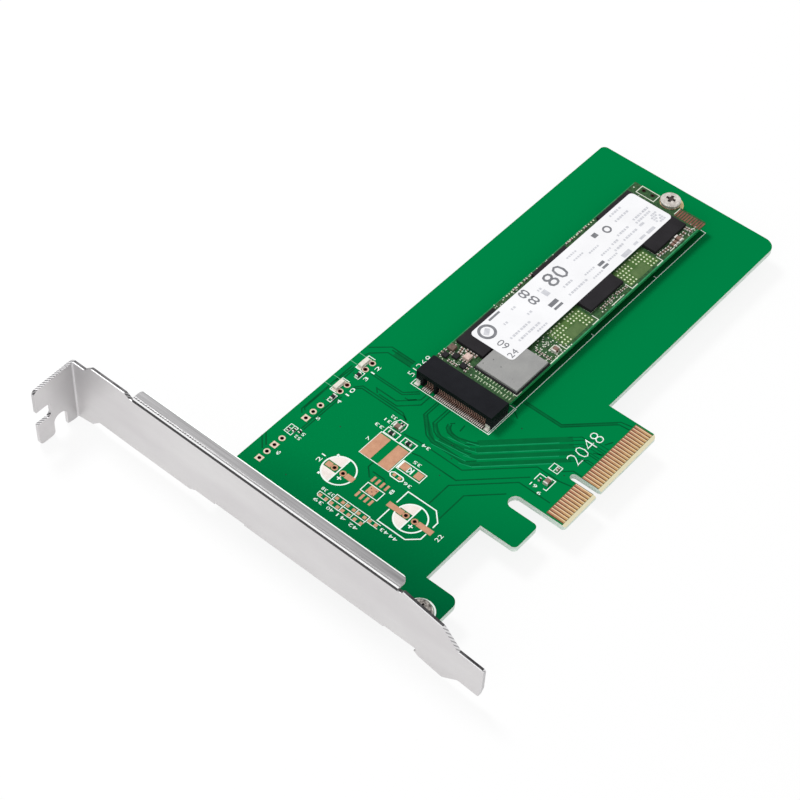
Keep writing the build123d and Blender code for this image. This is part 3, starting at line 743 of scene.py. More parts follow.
# %% Raise flat shapes into thin bodies
def raise_flat(shape, bottom, top):
    """Closes the flat shapes between two heights in card millimetres."""
    bmesh.ops.remove_doubles(shape, verts=shape.verts, dist=0.0005 * MM)
    bmesh.ops.translate(shape, verts=shape.verts, vec=(0, 0, bottom * MM))
    flats = shape.faces[:]
    made = bmesh.ops.extrude_face_region(shape, geom=flats, use_keep_orig=True)["geom"]
    upper = [item for item in made if isinstance(item, bmesh.types.BMVert)]
    bmesh.ops.translate(shape, verts=upper, vec=(0, 0, (top - bottom) * MM))


def lay(shape, thickness, face=0.0):
    """Raises flat shapes on a face, with their undersides a hair below it."""
    raise_flat(shape, face - 0.01, face + thickness)


def add_piece(name, shape, finish):
    """Makes the shape a piece of the card, which rides on its one body."""
    bmesh.ops.recalc_face_normals(shape, faces=shape.faces)
    mesh = bpy.data.meshes.new(name)
    shape.to_mesh(mesh)
    shape.free()
    mesh.materials.append(finish)
    piece = bpy.data.objects.new(name, mesh)
    bpy.context.scene.collection.objects.link(piece)
    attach(piece, "root")
    print(name, "faces:", len(mesh.polygons))


print("pieces before the new ones:", len(nodes))

# %% [markdown]
# ## Copper tracks
# Tracks are copper under the green mask, so they show as lines of a deeper green that
# stand up by a hundredth of a millimetre. They run along the card's axes or at 45
# degrees, and turn in two gentle steps, because that is how such boards are drawn. Four
# broad pairs run from the drive's socket towards the contacts, with narrow gaps.

# %% Track routes
track_w = 0.34
tracks = [
    [(56.9, 67.1), (60.7, 63.0), (60.7, 55.8)],
    [(60.0, 62.4), (60.0, 55.8)],
    [(54.3, 66.2), (55.6, 65.8), (58.7, 62.6), (58.7, 55.6)],
    [(51.5, 60.4), (51.5, 52.0), (54.3, 49.2)],
    [(50.9, 61.3), (50.9, 51.7), (53.9, 48.7)],
    [(47.4, 56.3), (48.5, 57.4), (48.5, 51.5), (52.6, 47.4), (54.7, 47.4)],
    [(47.4, 55.8), (47.4, 50.4), (51.4, 46.4), (54.7, 46.4)],
    [(50.6, 50.6), (50.6, 49.6), (52.0, 48.2)],
    [(45.0, 61.6), (46.8, 60.2), (46.8, 48.0), (45.6, 45.9)],
    [(44.4, 61.6), (46.1, 59.9), (46.1, 47.2), (45.3, 45.8)],
    [(54.6, 44.1), (49.6, 44.1), (45.3, 39.8), (44.4, 37.6), (44.4, 27.4), (46.6, 25.2)],
    [(54.6, 43.5), (50.2, 43.5), (45.9, 39.2), (45.2, 37.4), (45.2, 28.2), (47.0, 26.4)],
    [(54.6, 40.9), (49.1, 40.9), (47.3, 39.1), (46.6, 37.6), (46.9, 30.6), (47.9, 28.6)],
    [(54.6, 40.2), (49.6, 40.2), (47.9, 38.5), (47.3, 37.0), (47.6, 31.0), (48.6, 28.8)],
    [(51.2, 38.1), (50.0, 37.7), (49.1, 36.5), (48.8, 34.3), (48.8, 31.8), (50.4, 29.6)],
    [(51.6, 37.4), (50.4, 36.9), (49.6, 35.6), (49.6, 33.6), (50.6, 30.6), (51.4, 29.2)],
    [(51.6, 37.8), (52.4, 37.0)],
    [(51.3, 34.7), (53.4, 34.9)],
    [(42.1, 43.7), (42.7, 39.9), (42.7, 27.2), (54.9, 15.0), (54.9, 8.8), (55.6, 5.8)],
    [(39.0, 38.8), (39.5, 37.0), (39.5, 26.4), (51.5, 14.4)],
    [(30.4, 26.7), (37.3, 26.7), (48.6, 15.4), (48.6, 6.6)],
    [(28.7, 22.3), (37.3, 22.3), (44.1, 15.5)],
    [(68.6, 29.0), (68.6, 18.4), (78.4, 8.6), (79.0, 5.8)],
    [(67.9, 29.0), (67.9, 18.1), (77.5, 8.5), (77.8, 5.8)],
    [(64.4, 28.9), (63.2, 27.2)],
    [(31.2, 65.3), (32.1, 66.2), (50.0, 66.2)],
    [(32.2, 65.3), (32.8, 65.9), (41.2, 65.9)],
    [(43.8, 66.0), (50.0, 65.5)],
    [(45.8, 65.1), (49.4, 65.1)],
    [(27.7, 62.3), (41.0, 62.3)],
    [(27.7, 61.7), (41.0, 61.7)],
    [(21.4, 67.5), (18.7, 65.0)],
    [(20.3, 67.7), (17.4, 65.0)],
    [(31.2, 43.6), (29.4, 43.6), (27.2, 41.4)],
    [(29.0, 41.9), (29.0, 38.6), (26.2, 35.8)],
    [(57.6, 10.0), (59.4, 8.2), (59.4, 5.8)],
    [(70.4, 7.4), (72.3, 6.4)],
    [(66.6, 8.0), (67.8, 5.8)],
]
print("tracks:", len(tracks))

# %% [markdown]
# The four pairs lie at 45 degrees. On such a line X and Y add up to one number, so a pair
# is told by the sums of its two sides and by where it starts and ends. Where the pairs
# turn towards the contacts and the socket, broad bends carry them on.

# %% Pairs and their bends
pairs = [(79.7, 81.9, 51.3, 66.9), (76.9, 78.9, 49.4, 65.4),
         (74.2, 75.9, 47.7, 63.7), (71.3, 73.0, 45.3, 61.6)]

shape = bmesh.new()
for low_sum, high_sum, start, end in pairs:
    middle = (low_sum + high_sum) / 2
    line(shape, [(start, middle - start), (end, middle - end)],
         (high_sum - low_sum) / math.sqrt(2))
lay(shape, 0.007)
bends = bmesh.new()
bend_routes = [
    (0.9, [(51.35, 28.95), (50.2, 30.9), (49.2, 34.2), (49.7, 36.4), (51.0, 37.6)]),
    (0.8, [(49.35, 28.65), (48.2, 30.8), (47.0, 34.4), (47.0, 37.2), (49.3, 40.5)]),
    (1.1, [(45.4, 26.8), (44.8, 28.4), (44.8, 37.5), (49.8, 43.8)]),
    (1.15, [(47.9, 27.2), (47.3, 28.4), (45.95, 36.7)]),
    (0.6, [(68.25, 28.8), (68.25, 18.3), (77.6, 9.0)]),
    (2.0, [(59.75, 61.2), (59.75, 55.9)]),
]
for width, route in bend_routes:
    line(bends, route, width)
lay(bends, 0.004)
band_finish = grained(
    "pair_mask", (0, 98, 52), (0, 108, 57), (0.42, 0.5), 5.0, 1.2, 0.003, specular=0.02
)
add_piece("track_pairs", shape, band_finish)
add_piece("track_pair_bends", bends, band_finish)

# %% [markdown]
# The drive hangs a little over the board. Below its near edge its shadow is painted as a
# deep green strip beside the printed line.

# %% Painted shadow under the drive's near edge
shape = bmesh.new()
patch(shape, 66.0, 29.62, 142.7, 31.6)
lay(shape, 0.006)
# Painted shadow of the drive on the board.
drive_shadow_finish = grained(
    "painted_drive_shadow", (0, 76, 36), (0, 88, 42), (0.42, 0.5), 5.0, 1.2, 0.003, specular=0.0
)
add_piece("painted_drive_shadow_strip", shape, drive_shadow_finish)

# %% [markdown]
# The single tracks are one width. At each pair's end its two halves part, turn down and
# run on to a contact of their own as narrower tracks.

# %% Copper tracks
shape = bmesh.new()
for route in tracks:
    line(shape, route, track_w)
for low_sum, high_sum, start, end in pairs:
    for side in (low_sum + 0.4, high_sum - 0.4):
        turn_x = end + 1.6 + (high_sum - side) * 0.7
        line(shape, [(end - 0.5, side - end + 0.5), (turn_x, side - turn_x), (turn_x, 5.9)], 0.24)
lay(shape, 0.010)
track_finish = grained(
    "track_mask", (0, 80, 42), (0, 96, 51), (0.42, 0.5), 5.0, 1.2, 0.003, specular=0.02
)
add_piece("copper_tracks", shape, track_finish)

# %% [markdown]
# The narrow gaps between the pairs catch the light, where the mask climbs over the
# copper's edge. They get thin lines of a lighter green, one along each pair's side.

# %% Lit edges of the pairs
shape = bmesh.new()
for low_sum, high_sum, start, end in pairs:
    edge_sum = low_sum - 0.25
    line(shape, [(start - 0.4, edge_sum - start + 0.4), (end - 3.0, edge_sum - end + 3.0)], 0.3)
    line(shape, [(start - 0.4, edge_sum - start + 0.4 + 0.1),
                 (start - 1.5, edge_sum - start + 3.4)], 0.25)
for start, end in (((44.0, 37.2), (45.3, 28.2)), ((45.6, 37.3), (46.95, 28.4)),
                   ((48.1, 35.8), (49.1, 30.0))):
    line(shape, [start, end], 0.22)
lay(shape, 0.012)
lit_finish = grained(
    "lit_mask", (10, 138, 84), (26, 150, 98), (0.42, 0.5), 3.0, 1.2, 0.003, specular=0.02
)
add_piece("lit_track_edges", shape, lit_finish)

# %% [markdown]
# ## Bare laminate between the contacts
# The mask ends above the contacts, and between them the bare laminate shows brown. A
# thin sheet lies there, lower than the plating, so each contact stands out from it.

# %% Contact ground
contacts_low, contacts_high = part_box("edge_contacts_front")
row_low, row_high = contacts_low.y / MM, contacts_high.y / MM + 0.12
row_left = (contacts_low.x - face_x) / MM - 0.3
row_right = (contacts_high.x - face_x) / MM + 0.3
key_middle, key_clear = -face_x / MM, 1.0
shape = bmesh.new()
patch(shape, row_left, row_low, key_middle - key_clear, row_high)
patch(shape, key_middle + key_clear, row_low, row_right, row_high)
lay(shape, 0.012)
ground_finish = grained(
    "bare_laminate", (96, 56, 38), (116, 72, 50), (0.5, 0.65), 1.5, 0.2, 0.004, specular=0.2
)
add_piece("contact_ground", shape, ground_finish)
print("contacts from", round(row_left, 2), "to", round(row_right, 2))

# %% [markdown]
# ## Print on the board
# The white print is thick ink from a screen: round the drive's place, the socket, the
# two capacitors and every row of small parts. Half of each capacitor's disc is filled,
# which tells where its minus lead goes. The print has a faint green tinge, since the ink
# is thin at its edges, and the broad fills are a little warmer.

# %% Print finishes
print_finish = grained(
    "board_print", (240, 250, 244), (250, 255, 252), (0.5, 0.65), 1.2, 0.25, 0.004,
    specular=0.2,
)
fill_finish = grained(
    "print_fill", (238, 226, 219), (248, 239, 233), (0.5, 0.65), 1.5, 0.25, 0.004,
    specular=0.2,
)
thin, middling = 0.17, 0.21
print("print lines in mm:", thin, "and", middling)

# %% [markdown]
# The socket stands in a plain rectangle with a second line on its lower side, and one
# long line shows where the drive lies.

# %% Print round the socket and the drive
shape = bmesh.new()
rectangle(shape, 54.9, 29.15, 65.2, 52.4, thin)
line(shape, [(55.0, 29.55), (65.0, 29.55)], thin)
line(shape, [(65.4, 29.4), (143.15, 29.4), (143.15, 30.9)], thin)
for x in (96.0, 121.9):
    line(shape, [(x, 29.55), (x, 30.3)], thin)
print("print faces so far:", len(shape.faces))

# %% [markdown]
# Each light has an open frame round it, and its resistor a small box beside it.

# %% Print round the two lights
for low_x, high_x, top in ((41.0, 45.6, 65.3), (50.1, 54.9, 65.25)):
    line(shape, [(low_x, 63.3), (low_x, top), (high_x, top), (high_x, 63.3)], middling)
    line(shape, [(low_x + 1.5, 63.9), (high_x - 1.5, 63.9)], thin)
for low_x, low_y, high_x, high_y in ((47.6, 62.35, 50.0, 63.45), (38.0, 62.6, 40.5, 63.6)):
    rectangle(shape, low_x, low_y, high_x, high_y, thin)
line(shape, [(24.6, 64.9), (27.2, 64.9), (27.2, 62.8), (24.5, 62.8)], thin, closed=True)
line(shape, [(24.75, 63.85), (27.05, 63.85)], thin)
print("print faces so far:", len(shape.faces))

# %% [markdown]
# A capacitor's print is a ring with a line across its middle and a plus sign where its
# plus lead goes. The lower one has two brackets as well, which show its wider base.

# %% Print of the two large capacitors
round_x, round_y = 24.05, 47.8
line(shape, around(round_x, round_y, 4.1, 40), 0.36, closed=True)
line(shape, [(round_x - 3.9, round_y - 0.05), (round_x + 3.9, round_y - 0.05)], 0.3)
for x in (27.34, 20.6):
    patch(shape, x - 0.3, 50.55, x + 0.3, 51.1)
big_x, big_y = 24.45, 27.05
line(shape, around(big_x, big_y, 3.95, 40), 0.36, closed=True)
line(shape, [(big_x - 3.75, big_y), (big_x + 3.75, big_y)], 0.3)
line(shape, [(25.85, 32.28), (29.9, 32.28), (29.95, 24.2), (27.5, 21.78), (25.75, 21.78)], 0.3)
line(shape, [(23.45, 21.78), (21.6, 21.78), (19.2, 24.3), (19.2, 32.28), (23.4, 32.28)], 0.3)
for x, y in ((22.5, 46.35), (22.75, 25.7)):
    line(shape, [(x - 0.6, y), (x + 0.6, y)], 0.26)
    line(shape, [(x, y + 0.14), (x, y + 0.62)], 0.26)
    line(shape, [(x, y - 0.14), (x, y - 0.62)], 0.26)
print("print faces so far:", len(shape.faces))

# %% [markdown]
# Boxes show where the inductor, the diode and the regulator would sit. The diode has its
# drawn symbol inside.

# %% Print of the inductor, the diode and the regulator
rectangle(shape, 31.3, 39.2, 39.2, 48.0, middling)
rectangle(shape, 33.4, 32.0, 36.15, 38.8, middling)
line(shape, [(33.6, 38.45), (36.0, 38.45)], 0.5)
line(shape, [(33.9, 35.2), (35.6, 35.2)], 0.35)
line(shape, [(33.9, 36.2), (34.75, 35.45)], 0.25)
line(shape, [(35.6, 36.2), (34.75, 35.45)], 0.25)
line(shape, [(33.9, 36.3), (35.6, 36.3)], 0.2)
line(shape, [(31.2, 35.2), (30.7, 35.7), (30.7, 38.2), (31.2, 38.75), (31.7, 38.75),
             (32.15, 38.2), (32.15, 35.7), (31.7, 35.2)], 0.28, closed=True)
rectangle(shape, 23.2, 35.85, 25.95, 40.7, middling)
print("print faces so far:", len(shape.faces))

# %% [markdown]
# The small parts stand in rows, with a frame round each row or group and thin lines
# between the parts.

# %% Print round the rows of small parts
rectangle(shape, 17.05, 34.0, 18.75, 43.6, middling)
for y in (37.2, 40.35):
    line(shape, [(17.2, y), (18.6, y)], thin)
line(shape, [(16.9, 40.4), (15.45, 40.4), (15.45, 43.6), (16.9, 43.6)], middling)
line(shape, [(16.9, 37.25), (15.5, 37.25), (15.5, 40.2)], thin)
line(shape, [(16.9, 34.05), (15.5, 34.05), (15.5, 37.0)], thin)
line(shape, [(15.6, 44.2), (15.6, 46.7), (16.0, 47.1), (16.9, 47.1), (16.9, 43.9)], thin)
line(shape, [(17.3, 33.7), (17.3, 30.7)], thin)
line(shape, [(18.5, 33.7), (18.5, 30.7)], thin)
rectangle(shape, 39.45, 44.05, 41.35, 47.7, middling)
rectangle(shape, 39.45, 39.2, 41.45, 42.8, middling)
line(shape, [(42.3, 47.7), (43.4, 47.7), (44.8, 47.0), (44.8, 44.8), (43.5, 44.4),
             (41.9, 44.6)], middling)
line(shape, [(41.8, 47.7), (41.8, 47.0)], middling)
line(shape, [(50.8, 10.2), (50.8, 9.35), (54.3, 9.35), (54.3, 11.3), (53.8, 11.5),
             (53.8, 13.4), (51.6, 13.4)], middling)
rectangle(shape, 56.25, 10.4, 58.4, 12.8, thin)
line(shape, [(56.4, 11.6), (58.25, 11.6)], thin)
print("print faces so far:", len(shape.faces))

# %% [markdown]
# A ring of print keeps the place of each bracket screw's head clear.

# %% Rings of print round the bracket's screws
for x, y in bracket_screws:
    line(shape, around(x, y, 3.32, 36), 0.4, closed=True)
print("print faces so far:", len(shape.faces))

# %% [markdown]
# ## Numbers in the print
# Plain numbers stand beside the parts' places, as on most boards, and two larger ones at
# the socket and the contacts. Some read along the card and some across it.

# %% Plain numbers
across_numbers = [
    ("12", 51.2, 60.6, 54.0, 61.6), ("3", 48.3, 60.6, 49.5, 61.6),
    ("10", 42.1, 60.6, 44.9, 61.6), ("4", 38.9, 60.7, 40.0, 61.7),
    ("5", 31.9, 61.0, 32.9, 61.8), ("6", 18.2, 61.0, 19.5, 61.9),
    ("21", 22.9, 52.8, 25.4, 53.9), ("7", 35.1, 48.6, 36.2, 49.4),
    ("22", 23.4, 18.4, 25.5, 19.5), ("8", 26.6, 34.5, 28.1, 35.4),
]
along_numbers = [
    ("31", 42.2, 48.2, 43.1, 49.9), ("32", 43.9, 47.9, 44.8, 49.4),
    ("33", 39.75, 48.4, 40.65, 50.7), ("34", 42.0, 36.4, 42.9, 38.6),
    ("35", 36.9, 34.8, 37.8, 36.9), ("36", 30.75, 32.6, 31.65, 34.7),
    ("37 38", 17.45, 43.9, 18.35, 47.4), ("39", 14.05, 44.2, 14.95, 46.8),
    ("40", 14.05, 41.1, 14.95, 43.0), ("41", 14.05, 37.5, 14.95, 40.0),
    ("42", 13.85, 33.9, 14.75, 36.4), ("43", 17.4, 28.0, 18.3, 30.2),
    ("44", 17.3, 25.4, 18.2, 27.6),
    ("51", 26.15, 60.3, 27.05, 62.0), ("52", 24.6, 60.3, 25.5, 62.0),
    ("61", 49.75, 11.6, 50.65, 13.4), ("9", 48.75, 9.7, 49.65, 10.7),
]
for text, *box in across_numbers:
    number(shape, text, *box)
for text, *box in along_numbers:
    number(shape, text, *box, turned=True)
number(shape, "2048", 61.2, 8.2, 72.0, 11.8, thinner=0.022)
number(shape, "51268", 56.7, 53.3, 64.4, 55.1, thinner=0.012)
lay(shape, 0.022)
add_piece("board_print", shape, print_finish)

# %% [markdown]
# Over each light two lines run up to the board's edge. They are so thin that the green
# shows through them, so they are fainter and lower than the rest of the print.

# %% Faint lines from the lights to the board's edge
shape = bmesh.new()
for x in (41.85, 44.85, 50.95, 54.15):
    line(shape, [(x, 65.6), (x, 67.6)], thin)
lay(shape, 0.012)
faint_finish = grained(
    "faint_print", (84, 158, 122), (112, 180, 146), (0.5, 0.65), 0.6, 0.2, 0.003, specular=0.2
)
add_piece("faint_light_lines", shape, faint_finish)

# %% [markdown]
# The filled half of each capacitor's disc is broken by the bare copper strip in its
# middle, so two cut discs are laid for each, one on either side of the strip.

# %% Filled halves of the capacitors' discs
shape = bmesh.new()
for x, y, radius, up, strip in ((round_x, round_y, 3.95, 0.12, 1.05),
                                (big_x, big_y, 3.8, 0.15, 0.98)):
    upper_half = ((x, y + up), (0, -1))
    part_disc(shape, x, y, radius, upper_half, ((x - strip, y), (1, 0)))
    part_disc(shape, x, y, radius, upper_half, ((x + strip, y), (-1, 0)))
lay(shape, 0.018)
add_piece("print_fills", shape, fill_finish)

# %% [markdown]
# ## Dark holes
# A plated hole without a lead is dark, because light that enters it hardly returns. Each
# gets a thin dark sleeve of painted shade a little inside its wall, open at both ends as the
# real hole is.

# %% Painted shade in the holes
# Painted shade inside the holes.
hole_shade_finish = grained(
    "painted_hole_shade", (30, 10, 7), (48, 20, 14), (0.5, 0.7), 0.5, 0.1, 0.003, specular=0.05
)
light_y, header_y, pitch = 63.1, 63.6, 2.54
light_middles, sides = (43.27, 52.33), (-0.5, 0.5)
light_holes = [(x + pitch * side, light_y) for x in light_middles for side in sides]
empty_holes = [(18.7 + pitch * (step - 1.5), header_y) for step in range(4)]
empty_holes += [(33.2 + pitch * (step - 1), header_y) for step in range(3)]
empty_holes += light_holes
empty_holes += [(x, y + pitch * side) for x, y in ((round_x, round_y), (24.4, 27.1))
                for side in sides]
shape = bmesh.new()
for x, y in empty_holes:
    line(shape, around(x, y, 0.37, 14), 0.14, closed=True)
raise_flat(shape, -board_t + 0.05, 0.035)
add_piece("painted_hole_shades", shape, hole_shade_finish)
print("holes lined:", len(empty_holes))

# %% [markdown]
# The lights' holes look wider than the rest, so painted shade darkens their rims, and
# cream solder runs from the lights' ends down to their rings.

# %% Painted shade on the rims, and solder at the lights
rims, runs = bmesh.new(), bmesh.new()
for x, y in light_holes:
    line(rims, around(x, y, 0.46, 16), 0.18, closed=True)
    patch(runs, x - 0.5, y + 0.55, x + 0.42, y + 0.83)
for middle in light_middles:
    for low_x, high_x in ((middle - 2.15, middle - 1.62), (middle + 1.62, middle + 2.0)):
        patch(runs, low_x, light_y + 0.75, high_x, light_y + 1.95)
raise_flat(rims, 0.02, 0.046)
lay(runs, 0.05)
# Painted shade on the rims of the lights' holes.
rim_shade_finish = grained(
    "painted_rim_shade", (62, 20, 14), (92, 38, 28), (0.5, 0.65), 0.4, 0.1, 0.003, specular=0.1
)
run_finish = grained(
    "cream_solder", (196, 176, 160), (246, 236, 224), (0.3, 0.45), 0.35, 0.1, 0.006, metal=0.1
)
add_piece("light_hole_rim_shades", rims, rim_shade_finish)
add_piece("light_solder_runs", runs, run_finish)

# %% [markdown]
# The drive's board has two small holes beside its screw. They are measured from the end
# of the drive and from the screw, and get the same painted shade.

# %% Painted shade in the drive's two end holes
end_holes = [(drive_end - 1.2, standoff_y + 6.03 + 2.7 * side) for side in sides]
shape = bmesh.new()
for x, y in end_holes:
    line(shape, around(x, y, 0.3, 14), 0.22, closed=True)
raise_flat(shape, drive_top - 0.75, drive_top + 0.02)
# Painted shade inside the drive's end holes.
add_piece("drive_painted_hole_shades", shape, hole_shade_finish)

# %% [markdown]
# Each of the socket's rear feet sits in a small bright lump of solder. The lumps are
# alike, so one small block is made for each at the contact's own pitch.

# %% Solder lumps
solder_finish = grained(
    "bright_solder", (226, 206, 198), (250, 240, 234), (0.25, 0.4), 0.4, 0.1, 0.004, metal=0.1
)
socket_middle, pin_pitch, lump_x = 40.77, 0.5, 55.62
lump_long, lump_wide, lump_high = 0.62, 0.22, 0.26
lump_size = Matrix.Diagonal((lump_long * MM, lump_wide * MM, lump_high * MM, 1))
shape = bmesh.new()
for first, count in ((6.38, 5), (-9.17, 29)):
    for step in range(count):
        spot = at(lump_x, socket_middle + first + pin_pitch * step, lump_high / 2)
        bmesh.ops.create_cube(shape, size=1.0, matrix=Matrix.Translation(spot) @ lump_size)
add_piece("contact_solder", shape, solder_finish)

# %% [markdown]
# Under the socket's rear contacts a dark red-brown sheet of painted shade lies between the
# feet, where little light comes back. It shows between them as the dark gaps that make the
# feet look so white.

# %% Painted shade between the feet
shape = bmesh.new()
for low_y, high_y in ((31.2, 46.0), (46.9, 49.6)):
    patch(shape, 55.1, low_y, 57.25, high_y)
lay(shape, 0.02)
# Painted shade between the socket's feet.
gap_shade_finish = grained(
    "painted_gap_shade", (18, 8, 8), (34, 17, 15), (0.5, 0.65), 0.8, 0.2, 0.003, specular=0.1
)
add_piece("painted_contact_gap_shade", shape, gap_shade_finish)

# %% [markdown]
# ## Vias
# A via is a small plated hole under the mask. It shows as a dark green speck.

# %% Vias
shape = bmesh.new()
for x, y in ((38.2, 30.0), (43.8, 31.1), (48.4, 64.4), (37.9, 64.4), (15.3, 55.9),
             (57.0, 9.0), (61.5, 24.6), (46.9, 33.4), (34.0, 56.0)):
    disc(shape, x, y, 0.2)
lay(shape, 0.014)
via_finish = grained(
    "via", (6, 62, 38), (14, 80, 50), (0.4, 0.6), 0.3, 0.1, 0.004, specular=0.1
)
add_piece("masked_vias", shape, via_finish)

# %% [markdown]
# The regulator's pad has five vias of its own, which carry its heat through the board.

# %% Vias in the regulator's pad
shape = bmesh.new()
for x, y in ((25.1, 39.0), (25.1, 37.6), (24.39, 38.31), (23.75, 39.0), (23.7, 37.6)):
    disc(shape, x, y, 0.17)
raise_flat(shape, 0.03, 0.05)
dark_copper = grained(
    "dark_copper", (92, 46, 34), (120, 66, 50), (0.4, 0.6), 0.3, 0.1, 0.004, metal=0.2
)
add_piece("pad_vias", shape, dark_copper)

# %% [markdown]
# ## Print and pads of the drive
# Between the chips the drive's board has open fields of small round pads, which show as
# rows of pale dots on a lighter, yellower green. The fields of the two memory chips are
# alike and lie one chip's step apart.

# %% Fields of pads
field_finish = grained(
    "drive_field", (64, 98, 44), (84, 116, 56), (0.4, 0.5), 1.4, 0.3, 0.004, specular=0.2
)
dot_finish = grained(
    "pad_dots", (204, 216, 176), (230, 238, 206), (0.3, 0.45), 0.5, 0.1, 0.003, specular=0.4
)
chip_step, dot_pitch, first_dot_y, dash_pitch = 26.6, 1.012, 31.33, 0.84
dot_columns = [(113.18, 0, 5), (114.2, 0, 6), (115.24, 0, 6), (116.3, 3, 6), (117.36, 3, 6),
               (119.42, 3, 6), (120.46, 3, 6), (121.55, 0, 6), (122.62, 0, 6), (123.67, 0, 5)]
fields, clear, dots, dashes = (bmesh.new() for _ in range(4))
for shift in (0.0, -chip_step):
    for low_x, high_x in ((112.5, 115.8), (121.0, 124.3)):
        patch(fields, low_x + shift, 30.9, high_x + shift, 36.7)
    patch(fields, 115.8 + shift, 33.8, 121.0 + shift, 36.7)
    patch(clear, 115.85 + shift, 30.9, 120.95 + shift, 33.75)
    for x, first, last in dot_columns:
        for row in range(first, last):
            disc(dots, x + shift, first_dot_y + dot_pitch * row, 0.25, 8)
print("dots so far:", len(dots.faces))

# %% [markdown]
# Beside the socket there are two rows of dashes, which differ in length, so a seeded
# draw makes them uneven. Two more rows of dots lie along the drive's far edge.

# %% Rows of dashes and dots
uneven = random.Random(5)
for row_x in (64.2, 65.7):
    for step in range(13):
        low_y, reach = 30.5 + step * dash_pitch, uneven.uniform(0.3, 0.55)
        patch(dashes, row_x - reach, low_y, row_x + reach, low_y + 0.2)
        if uneven.random() < 0.6:
            patch(dashes, row_x + reach - 0.2, low_y + 0.2, row_x + reach, low_y + 0.6)
for x, count in ((89.4, 10), (114.6, 11)):
    for step in range(count):
        disc(dots, x + step, 51.3, 0.22, 8)
lay(fields, 0.006, drive_top)
lay(clear, 0.006, drive_top)
clear_finish = grained(
    "drive_clear", (74, 102, 56), (92, 118, 70), (0.4, 0.5), 1.4, 0.3, 0.004, specular=0.2
)
add_piece("drive_clear_fields", clear, clear_finish)
lay(dots, 0.02, drive_top)
lay(dashes, 0.02, drive_top)
add_piece("drive_fields", fields, field_finish)
add_piece("drive_dots", dots, dot_finish)
dash_finish = grained(
    "pad_dashes", (164, 182, 148), (204, 216, 188), (0.35, 0.5), 0.6, 0.1, 0.003, specular=0.3
)
add_piece("drive_dashes", dashes, dash_finish)

# %% [markdown]
# Between the small parts the board is crowded with pads and solder that are finer than
# the eye resolves. A seeded scatter of tiny light and dark specks stands for them, kept
# to the free corners beside the socket, the controller and the far chips. The two end
# holes get their dark rims here too, in the same finish.

# %% Scatter of tiny pads
chance = random.Random(11)
specks, dark_specks = bmesh.new(), bmesh.new()
crowded = [
    (63.2, 41.4, 72.2, 51.2, 120), (79.0, 29.9, 87.0, 36.6, 90),
    (128.2, 30.2, 141.0, 34.6, 60), (101.8, 30.2, 109.6, 34.4, 40),
    (84.0, 50.3, 112.0, 51.5, 46), (137.0, 43.0, 139.6, 51.0, 16),
]
for low_x, low_y, high_x, high_y, count in crowded:
    for step in range(count):
        x, y = chance.uniform(low_x, high_x), chance.uniform(low_y, high_y)
        wide, tall = chance.choice(((0.34, 0.22), (0.22, 0.34), (0.26, 0.26)))
        patch(dark_specks if step % 3 == 0 else specks, x, y, x + wide, y + tall)
for x, y in end_holes:
    line(dark_specks, around(x, y, 0.48, 16), 0.2, closed=True)
lay(specks, 0.03, drive_top)
lay(dark_specks, 0.035, drive_top)
speck_finish = grained(
    "speck_solder", (206, 204, 190), (244, 244, 234), (0.3, 0.45), 0.5, 0.1, 0.003, metal=0.1
)
dark_speck_finish = grained(
    "speck_shade", (30, 36, 24), (46, 50, 36), (0.5, 0.6), 0.5, 0.1, 0.003, specular=0.1
)
add_piece("drive_specks", specks, speck_finish)
add_piece("drive_dark_specks", dark_specks, dark_speck_finish)

# %% [markdown]
# Along the drive's two long edges the mask covers no copper, so a narrow band there is a
# brighter, bluer green than the rest. The controller's lid has six tiny pits, which are
# no more than specks at this size.

# %% Bright edge bands and pits of the lid
shape = bmesh.new()
near_edge_y, far_edge_y = (corner.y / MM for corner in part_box("drive_board"))
patch(shape, 66.0, near_edge_y + 0.02, 142.0, near_edge_y + 0.36)
patch(shape, 66.0, far_edge_y - 0.2, 142.6, far_edge_y - 0.02)
lay(shape, 0.008, drive_top)
edge_finish = grained(
    "drive_edge_mask", (24, 122, 72), (52, 150, 100), (0.4, 0.5), 2.0, 0.3, 0.003, specular=0.2
)
add_piece("drive_edge_band", shape, edge_finish)

lid_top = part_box("drive_controller_lid")[1].z / MM
shape = bmesh.new()
for x, y in ((70.5, 40.5), (68.0, 41.6), (69.85, 37.7)):
    disc(shape, x, y, 0.17, 8)
for x, y in ((68.2, 32.6), (67.6, 33.3), (68.7, 33.4)):
    disc(shape, x, y, 0.09, 6)
lay(shape, 0.01, lid_top)
pit_finish = grained("lid_pits", (84, 84, 84), (110, 110, 108), (0.5, 0.65), 0.3, 0.1, 0.002)
add_piece("lid_pits", shape, pit_finish)
print("drive's near edge at", round(near_edge_y, 2), "lid's top at", round(lid_top, 2))

# %% [markdown]
# The drive's own print is a thin pale ink: corner marks beside each memory chip, short
# strokes between the parts and two outlines. Single round test pads stand among them.

